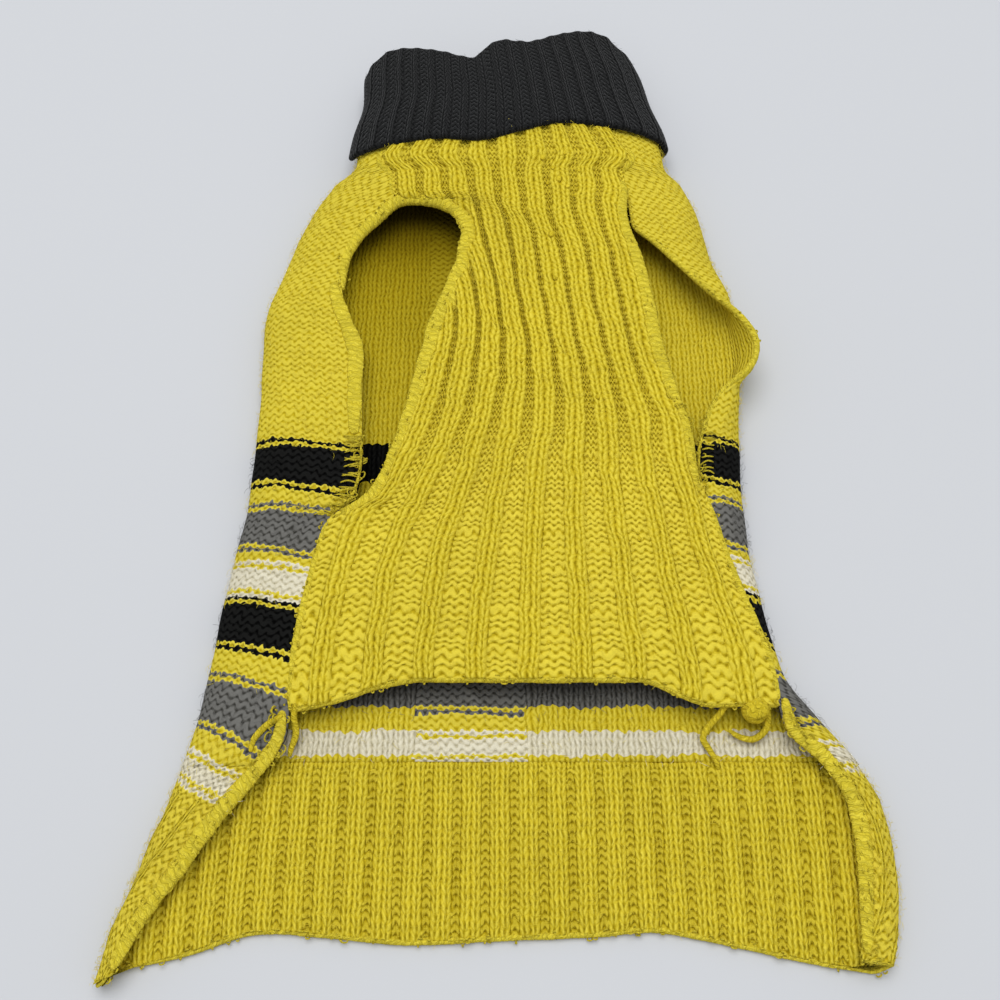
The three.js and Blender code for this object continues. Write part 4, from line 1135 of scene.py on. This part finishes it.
def pills():
    """Small balls of rubbed fibre on the belly panel."""
    bm = bmesh.new()
    for x, y, size in PILLS:
        place = placed(nearest_on(CLOTH["belly"]["inside"], x, y) + [0, 0, size * 0.35])
        shape = Matrix.Translation(place) @ Matrix.Diagonal((1.0, 1.3, 0.7, 1.0))
        bmesh.ops.create_icosphere(bm, subdivisions=2, radius=size * MM, matrix=shape)
    piece = finish_mesh("pills", bm)
    count = len(piece.data.vertices)
    set_layers(piece.data, np.zeros((count, 2)), np.ones(count))
    return piece


FIBRE = {"points": 5, "half": 0.065, "length": (2.0, 6.0), "lift": (0.2, 1.9)}


def fibres(name, points, normals, course, count, seed, keep=None, lift=1.0):
    """Thin curved fibres that lie on and stand out of a face of cloth."""
    picks = np.random.default_rng(seed)
    rows, columns = points.shape[:2]
    chosen = np.arange(rows * columns).reshape(rows, columns)[:-1, :-1]
    if keep is not None:
        chosen = chosen[keep[:-1, :-1]]
    chosen = picks.choice(chosen.ravel(), count)
    r, c = chosen // columns, chosen % columns
    start = points[r, c]
    step_down, step_along = points[r + 1, c] - start, points[r, c + 1] - start
    start = start + step_down * picks.random((count, 1)) + step_along * picks.random((count, 1))
    normal = normals[r, c]
    first = unit(step_along - normal * (step_along * normal).sum(-1, keepdims=True))
    second = np.cross(normal, first)
    angle = picks.uniform(0, 2 * np.pi, (count, 1))
    turn = angle + picks.uniform(-1.6, 1.6, (count, 1))
    length = picks.uniform(*FIBRE["length"], (count, 1))
    rise_by = picks.uniform(*FIBRE["lift"], (count, 1)) * lift
    leave = first * np.cos(angle) + second * np.sin(angle)
    arrive = first * np.cos(turn) + second * np.sin(turn)
    middle = start + leave * length * 0.5 + normal * rise_by * 1.6
    end = start + leave * length * 0.5 + arrive * length * 0.5 + normal * rise_by * 0.7
    t = np.linspace(0, 1, FIBRE["points"])[None, :, None]
    lines = ((1 - t) ** 2 * start[:, None] + 2 * t * (1 - t) * middle[:, None]
             + t**2 * end[:, None])
    lines[..., 2] = np.maximum(lines[..., 2], 0.15)
    guide = unit(np.cross(leave, arrive) + normal * 0.5)[:, None]
    stitches = np.stack([np.zeros(count), course[r, c]], -1)
    return threads(name, lines, guide, FIBRE["half"], FIBRE["half"], 3, stitches)


# Materials

class Value:
    """A number in a material. Arithmetic on it adds Math nodes."""

    def __init__(self, graph, socket):
        self.graph = graph
        self.socket = socket

    def math(self, operation, *others):
        inputs = dict(enumerate((self, *others)))
        return self.graph.node("ShaderNodeMath", {"operation": operation}, inputs)

    def __add__(self, other):
        return self.math("ADD", other)

    __radd__ = __add__

    def __sub__(self, other):
        return self.math("SUBTRACT", other)

    def __rsub__(self, other):
        return self.graph.node("ShaderNodeMath", {"operation": "SUBTRACT"}, {0: other, 1: self})

    def __mul__(self, other):
        return self.math("MULTIPLY", other)

    __rmul__ = __mul__

    def __truediv__(self, other):
        return self.math("DIVIDE", other)

    def __pow__(self, other):
        return self.math("POWER", other)

    def __gt__(self, other):
        return self.math("GREATER_THAN", other)


class Graph:
    """The nodes of one material."""

    def __init__(self, name):
        self.material = bpy.data.materials.new(name)
        self.material.use_nodes = True
        self.tree = self.material.node_tree
        self.tree.nodes.clear()

    def node(self, kind, settings=None, inputs=None, output=0):
        """Add a node with its settings and the values or links of its sockets."""
        node = self.tree.nodes.new(kind)
        for key, value in (settings or {}).items():
            if key == "stops":
                self.set_stops(node.color_ramp, value)
            else:
                setattr(node, key, value)
        for key, value in (inputs or {}).items():
            socket = node.inputs[key]
            if isinstance(value, Value):
                self.tree.links.new(value.socket, socket)
            else:
                socket.default_value = value
        return Value(self, node.outputs[output]) if node.outputs else None

    @staticmethod
    def set_stops(ramp, stops):
        while len(ramp.elements) > 1:
            ramp.elements.remove(ramp.elements[0])
        ramp.elements[0].position, ramp.elements[0].color = stops[0]
        for position, colour in stops[1:]:
            ramp.elements.new(position).color = colour

    def mix(self, kind, share, first, second):
        """Mix two colours."""
        return self.node("ShaderNodeMix", {"data_type": "RGBA", "blend_type": kind},
                         {0: share, 6: first, 7: second}, output=2)

    def noise(self, place, scale, detail=2.0, roughness=0.5):
        return self.node("ShaderNodeTexNoise", None, {
            "Vector": place, "Scale": scale, "Detail": detail, "Roughness": roughness})

    def surface(self, inputs):
        """End the material in a surface with these inputs, and return it."""
        shader = self.node("ShaderNodeBsdfPrincipled", None, inputs)
        self.node("ShaderNodeOutputMaterial", None, {"Surface": shader})
        return self.material

    def grey(self, value):
        """A number as a grey colour."""
        return self.node("ShaderNodeCombineColor", None, {0: value, 1: value, 2: value})


def fraction_of(value):
    return value.math("FRACT")


def strand_height(distance, share):
    """The round top of a strand at a distance from its middle, in half widths."""
    return (1 - distance * distance).math("MAXIMUM", 0.0).math("SQRT") * share


def yarn_material(name, colours, sheen=0.0, relief=0.55, gloom=0.56, light=0.86):
    """Knitted yarn: stitches from the UV map, knit or purl, and stripes by their row.

    colours is one colour, or the stops of a ramp over STRIPE_SCALE rows."""
    g = Graph(name)
    place = g.node("ShaderNodeTexCoord", output=3)
    stitches = g.node("ShaderNodeUVMap", {"uv_map": "stitches"})
    split = g.node("ShaderNodeSeparateXYZ", None, {0: stitches})
    uneven = g.noise(place, 260.0) - 0.5
    drift = g.noise(place, 90.0) - 0.5
    wale = split + uneven * 0.4 + drift * 0.25
    course = Value(g, split.socket.node.outputs[1]) + drift * 0.7 + uneven * 0.7
    knit = g.node("ShaderNodeAttribute", {"attribute_name": "knit"}, output=2) > 0.5

    across = (fraction_of(wale) - 0.5).math("ABSOLUTE")
    leg = course + across * KNIT_SLANT
    strand = (fraction_of(leg) * math.pi).math("SINE")
    hole = (course * (2 * math.pi)).math("COSINE") * 0.16 + 0.78
    border = 1 - (across * 2) ** 3.5 * hole
    groove = 1 - ((across / -0.15) + 1).math("MAXIMUM", 0.0) * hole * 0.85
    knit_height = border * (strand * KNIT_STRAND + (1 - KNIT_STRAND)) * groove

    wave = (wale * (2 * math.pi)).math("COSINE")
    over_middle = course - 0.25 + wave * PURL_WAVE
    under_middle = course - 0.75 - wave * PURL_WAVE
    over = (fraction_of(over_middle + 0.5) - 0.5).math("ABSOLUTE") / PURL_HALF
    under = (fraction_of(under_middle + 0.5) - 0.5).math("ABSOLUTE") / PURL_HALF
    mean, swing = PURL_SWELL["mean"], PURL_SWELL["wave"]
    high = strand_height(over, wave * swing + mean)
    low = strand_height(under, wave * -swing + mean)
    away = (fraction_of(course - wave * PURL_GAP["wave"] + 0.5) - 0.5).math("ABSOLUTE")
    gap = (1 - away / PURL_GAP["half"]).math("MAXIMUM", 0.0)
    purl_height = 1 - gap * (wave * wave * PURL_GAP["turn"] + PURL_GAP["depth"])
    height = knit * knit_height + (1 - knit) * purl_height

    fibre = g.noise(place, 1700.0, 3.0, 0.7)
    fluff = g.noise(place, 520.0, 3.0, 0.65)
    patch = g.noise(place, 24.0, 2.0)
    if len(colours) > 1:
        knit_row = (course + across * KNIT_TOOTH + 0.3).math("FLOOR")
        over_row = (over_middle + 0.5).math("FLOOR") - 1
        under_row = (under_middle + 0.5).math("FLOOR") + 1
        on_top = high > low
        purl_row = on_top * over_row + (1 - on_top) * under_row
        row = knit * knit_row + (1 - knit) * purl_row
        yarn = g.node("ShaderNodeValToRGB", {"stops": colours}, {0: (row + 0.5) / STRIPE_SCALE})
        yarn.socket.node.color_ramp.interpolation = "CONSTANT"
    else:
        yarn = colours[0][1]
    # Painted shade: the tone and colour grow darker and deeper in the hollows between strands; gloom
    # is the tone left at their bottom.
    hollow = (height * 1.12 + (fluff - 0.5) * 0.45).math("MINIMUM", 1.0)
    hollow = hollow.math("MAXIMUM", 0.0)
    # The shade attribute is painted shade: it darkens the tone and deepens the colour inside the
    # sweater and in the rib valleys.
    painted_shade = g.node("ShaderNodeAttribute", {"attribute_name": "shade"}, output=2)
    tone = (hollow ** 0.55 * (1 - gloom) + gloom + (fibre - 0.5) * 0.40 + (fluff - 0.5) * 0.34
            + (patch - 0.5) * 0.16)
    depth = 2.6 - hollow * 0.8 - painted_shade * 0.8
    rich = g.node("ShaderNodeGamma", None, {"Color": yarn, "Gamma": depth})
    colour = g.mix("MULTIPLY", 1.0, rich, g.grey(tone * painted_shade * light))
    bumps = height * relief + fluff * 0.34 + fibre * 0.12
    normal = g.node("ShaderNodeBump", None, {"Strength": 1.0, "Distance": 0.0012, "Height": bumps})
    return g.surface({
        "Base Color": colour, "Roughness": 0.95, "Specular IOR Level": 0.05,
        "Sheen Weight": sheen, "Sheen Roughness": 0.5, "Normal": normal})


def thread_material(name, colour, pitch=2.9, sheen=0.0):
    """Sewn bands: threads laid across the edge, side by side, in loops."""
    g = Graph(name)
    place = g.node("ShaderNodeTexCoord", output=3)
    layer = g.node("ShaderNodeUVMap", {"uv_map": "stitches"})
    turn = g.node("ShaderNodeSeparateXYZ", None, {0: layer})
    along = Value(g, turn.socket.node.outputs[1])
    uneven = g.noise(place, 330.0) - 0.5
    fibre = g.noise(place, 1700.0, 3.0, 0.7)
    patch = g.noise(place, 60.0, 2.0)
    coarse = g.noise(place, 150.0) - 0.5
    slant = (turn * (2 * math.pi)).math("COSINE") * 1.1 + uneven * 3.0 + coarse * 5.0
    loop = ((along + slant) * (2 * math.pi / pitch)).math("SINE") * 0.5 + 0.5
    fine = ((along + slant * 0.8 + uneven * 2.0) * (2 * math.pi / 0.95)).math("SINE") * 0.5 + 0.5
    height = loop * 0.5 + fine * 0.5
    # Painted shade: the tone and colour are darker in the grooves between the laid loops.
    tone = height ** 0.6 * 0.3 + 0.68 + (fibre - 0.5) * 0.5 + (patch - 0.5) * 0.3
    rich = g.node("ShaderNodeGamma", None, {"Color": colour, "Gamma": 1.4 - height * 0.3})
    tinted = g.mix("MULTIPLY", 1.0, rich, g.grey(tone))
    bumps = height + fibre * 0.25
    normal = g.node("ShaderNodeBump", None, {"Strength": 0.9, "Distance": 0.0006, "Height": bumps})
    return g.surface({
        "Base Color": tinted, "Roughness": 0.95, "Specular IOR Level": 0.1,
        "Sheen Weight": sheen, "Normal": normal})


def fibre_material(name, colours):
    """Single fibres, in one colour or in the colour of their row's stripe."""
    g = Graph(name)
    layer = g.node("ShaderNodeUVMap", {"uv_map": "stitches"})
    split = g.node("ShaderNodeSeparateXYZ", None, {0: layer})
    row = Value(g, split.socket.node.outputs[1])
    if len(colours) > 1:
        yarn = g.node("ShaderNodeValToRGB", {"stops": colours}, {0: row / STRIPE_SCALE})
        yarn.socket.node.color_ramp.interpolation = "CONSTANT"
    else:
        yarn = colours[0][1]
    return g.surface({
        "Base Color": yarn, "Roughness": 1.0, "Specular IOR Level": 0.1})


def table_material(colour):
    g = Graph("table_top")
    place = g.node("ShaderNodeTexCoord", output=3)
    cloud = g.noise(place, 3.0, 2.0)
    tone = g.mix("MIX", cloud, (*[c * 0.98 for c in colour], 1.0), (*colour, 1.0))
    return g.surface({
        "Base Color": tone, "Roughness": 0.6, "Specular IOR Level": 0.25})


# Settings and operators

def colour_setting(name, description, colour):
    return bpy.props.FloatVectorProperty(name=name, description=description, subtype="COLOR",
                                         size=3, min=0, max=1, default=colour)


COLLAR_COLOUR = (0.0106, 0.011, 0.0109, 1.0)
COLLAR_FIBRE_COLOUR = (0.03, 0.03, 0.03, 1.0)


class SweaterColours(bpy.types.PropertyGroup):
    """The yarns' colours."""
    yellow: colour_setting("Yellow", "Main yarn", (0.75, 0.61, 0.055))
    black: colour_setting("Black", "Collar and stripes", (0.0102, 0.0102, 0.0094))
    grey: colour_setting("Grey", "Grey stripes", (0.17, 0.165, 0.15))
    white: colour_setting("Off-white", "Pale stripes", (0.80, 0.74, 0.56))
    thread: colour_setting("Overlock thread", "Bound edges", (0.80, 0.675, 0.08))
    table: colour_setting("Table", "Table top", (0.56, 0.568, 0.585))


def yarn_colour(name):
    return (*getattr(bpy.context.scene.sweater_colours, name), 1.0)


def stripe_stops():
    return [(start / STRIPE_SCALE, yarn_colour(name)) for start, name in STRIPES]


def sew_cloth(key, cloth_maker, node, slot, material, flat, held="laid", layers=1, **rests):
    """Add one piece of cloth, with its yarn."""
    piece, cloth = cloth_maker()
    CLOTH[key] = cloth
    piece.data.materials.append(material)
    sewn_in(piece, node)
    return {"FINISHED"}


class SWEATER_OT_back(bpy.types.Operator):
    """Add the striped back panel."""
    bl_idname = "sweater.back"
    bl_label = "Add Back Panel"

    def execute(self, context):
        yarn = yarn_material("striped_knit", stripe_stops())
        return sew_cloth("back", back_cloth, "back_panel", "striped_knit", yarn,
                         flat=(0.37, 0.35))


class SWEATER_OT_tail(bpy.types.Operator):
    """Add the ribbed band that ends the tail."""
    bl_idname = "sweater.tail"
    bl_label = "Add Tail Rib"

    def execute(self, context):
        yarn = yarn_material("tail_rib_knit", stripe_stops(), relief=0.8, gloom=0.38,
                             light=0.93)
        return sew_cloth("tail", tail_cloth, "back_hem_rib", "yellow_rib", yarn,
                         flat=(0.37, 0.085))


class SWEATER_OT_belly(bpy.types.Operator):
    """Add the ribbed belly panel."""
    bl_idname = "sweater.belly"
    bl_label = "Add Belly Panel"

    def execute(self, context):
        colours = [(0, yarn_colour("yellow"))]
        yarn = yarn_material("belly_rib_knit", colours, relief=0.6, gloom=0.26, light=0.93)
        return sew_cloth("belly", belly_cloth, "belly_panel", "yellow_rib", yarn,
                         flat=(0.205, 0.33), rests_on=["back_knit"])


class SWEATER_OT_collar(bpy.types.Operator):
    """Add the turned-down ribbed collar."""
    bl_idname = "sweater.collar"
    bl_label = "Add Collar"

    def execute(self, context):
        yarn = yarn_material("black_rib_knit", [(0, COLLAR_COLOUR)], sheen=0.1, relief=0.9,
                             gloom=0.3, light=0.9)
        return sew_cloth("collar", collar_cloth, "collar", "black_rib", yarn,
                         flat=(0.34, 0.135), held="folded", layers=2)


FLANK_Z = 4  # the cloth above this height is on a flank
BOUND_COLUMNS = 6  # columns at each side of the back that a bound edge covers
INNER_FIBRES_Y = -86  # from the belly's hem to the tail, the back's inner face shows


def on_flank(grid):
    """Where a grid of the back stands off the table, but not on its bound edges."""
    keep = grid[..., 2] > FLANK_Z
    keep[:, :BOUND_COLUMNS] = False
    keep[:, -BOUND_COLUMNS:] = False
    return keep


def need_cloth():
    missing = [name for name in ("back", "tail", "belly", "collar") if name not in CLOTH]
    if missing:
        raise RuntimeError("Add these first: " + ", ".join(missing))


class SWEATER_OT_sewing(bpy.types.Operator):
    """Add the bound edges, frayed loops, yarn ends and pills."""
    bl_idname = "sweater.sewing"
    bl_label = "Add Sewing"

    def execute(self, context):
        need_cloth()
        band = thread_material("overlock_thread", yarn_colour("thread"))
        loose = thread_material("loose_yarn", yarn_colour("yellow"), pitch=2.2)
        for piece in (*seam_threads(), crossing_threads(), loose_loops()):
            piece.data.materials.append(band)
            sewn_in(piece, None)
        for piece in (*yarn_ends(), pills()):
            piece.data.materials.append(loose)
            sewn_in(piece, None)
        return {"FINISHED"}


class SWEATER_OT_fibres(bpy.types.Operator):
    """Add the fibres that stand out of the yarn."""
    bl_idname = "sweater.fibres"
    bl_label = "Add Fibres"

    def execute(self, context):
        need_cloth()
        stripes = fibre_material("striped_fibre", stripe_stops())
        yellow = fibre_material("yellow_fibre", [(0, yarn_colour("yellow"))])
        dark = fibre_material("black_fibre", [(0, COLLAR_FIBRE_COLOUR)])
        back, tail, belly, collar = (CLOTH[k] for k in ("back", "tail", "belly", "collar"))
        made = [
            (fibres("back_fibres", back["outside"], -back["normals"], back["course"], 5200, 81,
                    on_flank(back["outer"])), stripes, "striped_knit"),
            (fibres("back_inner_fibres", back["inside"], back["normals"], back["course"], 900,
                    82, back["outer"][..., 1] < INNER_FIBRES_Y), stripes, "striped_knit"),
            (fibres("tail_fibres", tail["inside"], tail["normals"], tail["course"], 2200, 83),
             stripes, "yellow_rib"),
            (fibres("tail_outer_fibres", tail["outside"], -tail["normals"], tail["course"], 1500,
                    84, tail["outer"][..., 2] > FLANK_Z), stripes, "yellow_rib"),
            (fibres("belly_fibres", belly["inside"], belly["normals"], belly["course"], 5100,
                    85), yellow, "yellow_rib"),
            (fibres("collar_fibres", collar["outer"][:44], collar["normals"][:44],
                    collar["course"][:44], 3400, 86), dark, "black_rib"),
        ]
        for piece, material, slot in made:
            piece.data.materials.append(material)
            sewn_in(piece, None)
        return {"FINISHED"}


CAMERA = {"pitch": 62.0, "height": 484.0, "back": 257.35, "focal": 1200.0, "frame": 1000.0}
SENSOR = 36.0


class SWEATER_OT_stage(bpy.types.Operator):
    """Add the table top, the soft light and the camera."""
    bl_idname = "sweater.stage"
    bl_label = "Add Stage"

    def execute(self, context):
        scene = context.scene
        scene.view_settings.view_transform = "Standard"
        bm = bmesh.new()
        bmesh.ops.create_grid(bm, x_segments=2, y_segments=2, size=4.0)
        floor = finish_mesh("table_top", bm)
        floor.data.materials.append(table_material(tuple(scene.sweater_colours.table)))
        floor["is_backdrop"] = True
        self.add_light("sky_light", (-0.1, 0.4, 2.5), (-9, -2.3, 0), 2.4, 46.0)
        world = bpy.data.worlds.new("room")
        scene.world = world
        world.use_nodes = True
        background = world.node_tree.nodes["Background"]
        background.inputs["Color"].default_value = (0.93, 0.96, 1.0, 1.0)
        background.inputs["Strength"].default_value = 0.64
        self.add_camera(scene)
        return {"FINISHED"}

    @staticmethod
    def add_light(name, place, turn, size, power):
        light = bpy.data.lights.new(name, "AREA")
        light.shape = "DISK"
        light.size = size
        light.energy = power
        holder = bpy.data.objects.new(name, light)
        holder.location = place
        holder.rotation_euler = [math.radians(angle) for angle in turn]
        bpy.context.scene.collection.objects.link(holder)

    @staticmethod
    def add_camera(scene):
        camera = bpy.data.cameras.new("camera")
        camera.sensor_width = SENSOR
        camera.lens = SENSOR * CAMERA["focal"] / CAMERA["frame"]
        camera.clip_start = 0.02
        holder = bpy.data.objects.new("camera", camera)
        holder.location = (-CENTRE[0] * MM, (-CAMERA["back"] - CENTRE[1]) * MM,
                           CAMERA["height"] * MM)
        holder.rotation_euler = (math.radians(90 - CAMERA["pitch"]), 0, 0)
        scene.collection.objects.link(holder)
        scene.camera = holder


class SWEATER_PT_panel(bpy.types.Panel):
    bl_idname = "SWEATER_PT_panel"
    bl_label = "Dog Sweater"
    bl_space_type = "VIEW_3D"
    bl_region_type = "UI"
    bl_category = "Dog Sweater"

    def draw(self, context):
        layout = self.layout
        for name in ("yellow", "black", "grey", "white", "thread", "table"):
            layout.prop(context.scene.sweater_colours, name)
        for step in STEPS:
            layout.operator(step.bl_idname)


STEPS = (SWEATER_OT_stage, SWEATER_OT_back, SWEATER_OT_tail, SWEATER_OT_belly,
         SWEATER_OT_collar, SWEATER_OT_sewing, SWEATER_OT_fibres)
CLASSES = (SweaterColours, *STEPS, SWEATER_PT_panel)


def register():
    for cls in CLASSES:
        bpy.utils.register_class(cls)
    bpy.types.Scene.sweater_colours = bpy.props.PointerProperty(type=SweaterColours)


def unregister():
    del bpy.types.Scene.sweater_colours
    for cls in reversed(CLASSES):
        bpy.utils.unregister_class(cls)


def write_size(box):
    """Take the dressed sweater's box and keep nothing of it."""
    def plain(corners):
        return [[float(value) for value in corner] for corner in corners]


def main():
    register()
    bpy.ops.sweater.stage()
    bpy.ops.sweater.back()
    bpy.ops.sweater.tail()
    bpy.ops.sweater.belly()
    bpy.ops.sweater.collar()
    bpy.ops.sweater.sewing()
    bpy.ops.sweater.fibres()
    write_size(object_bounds())


if __name__ == "__main__":
    main()
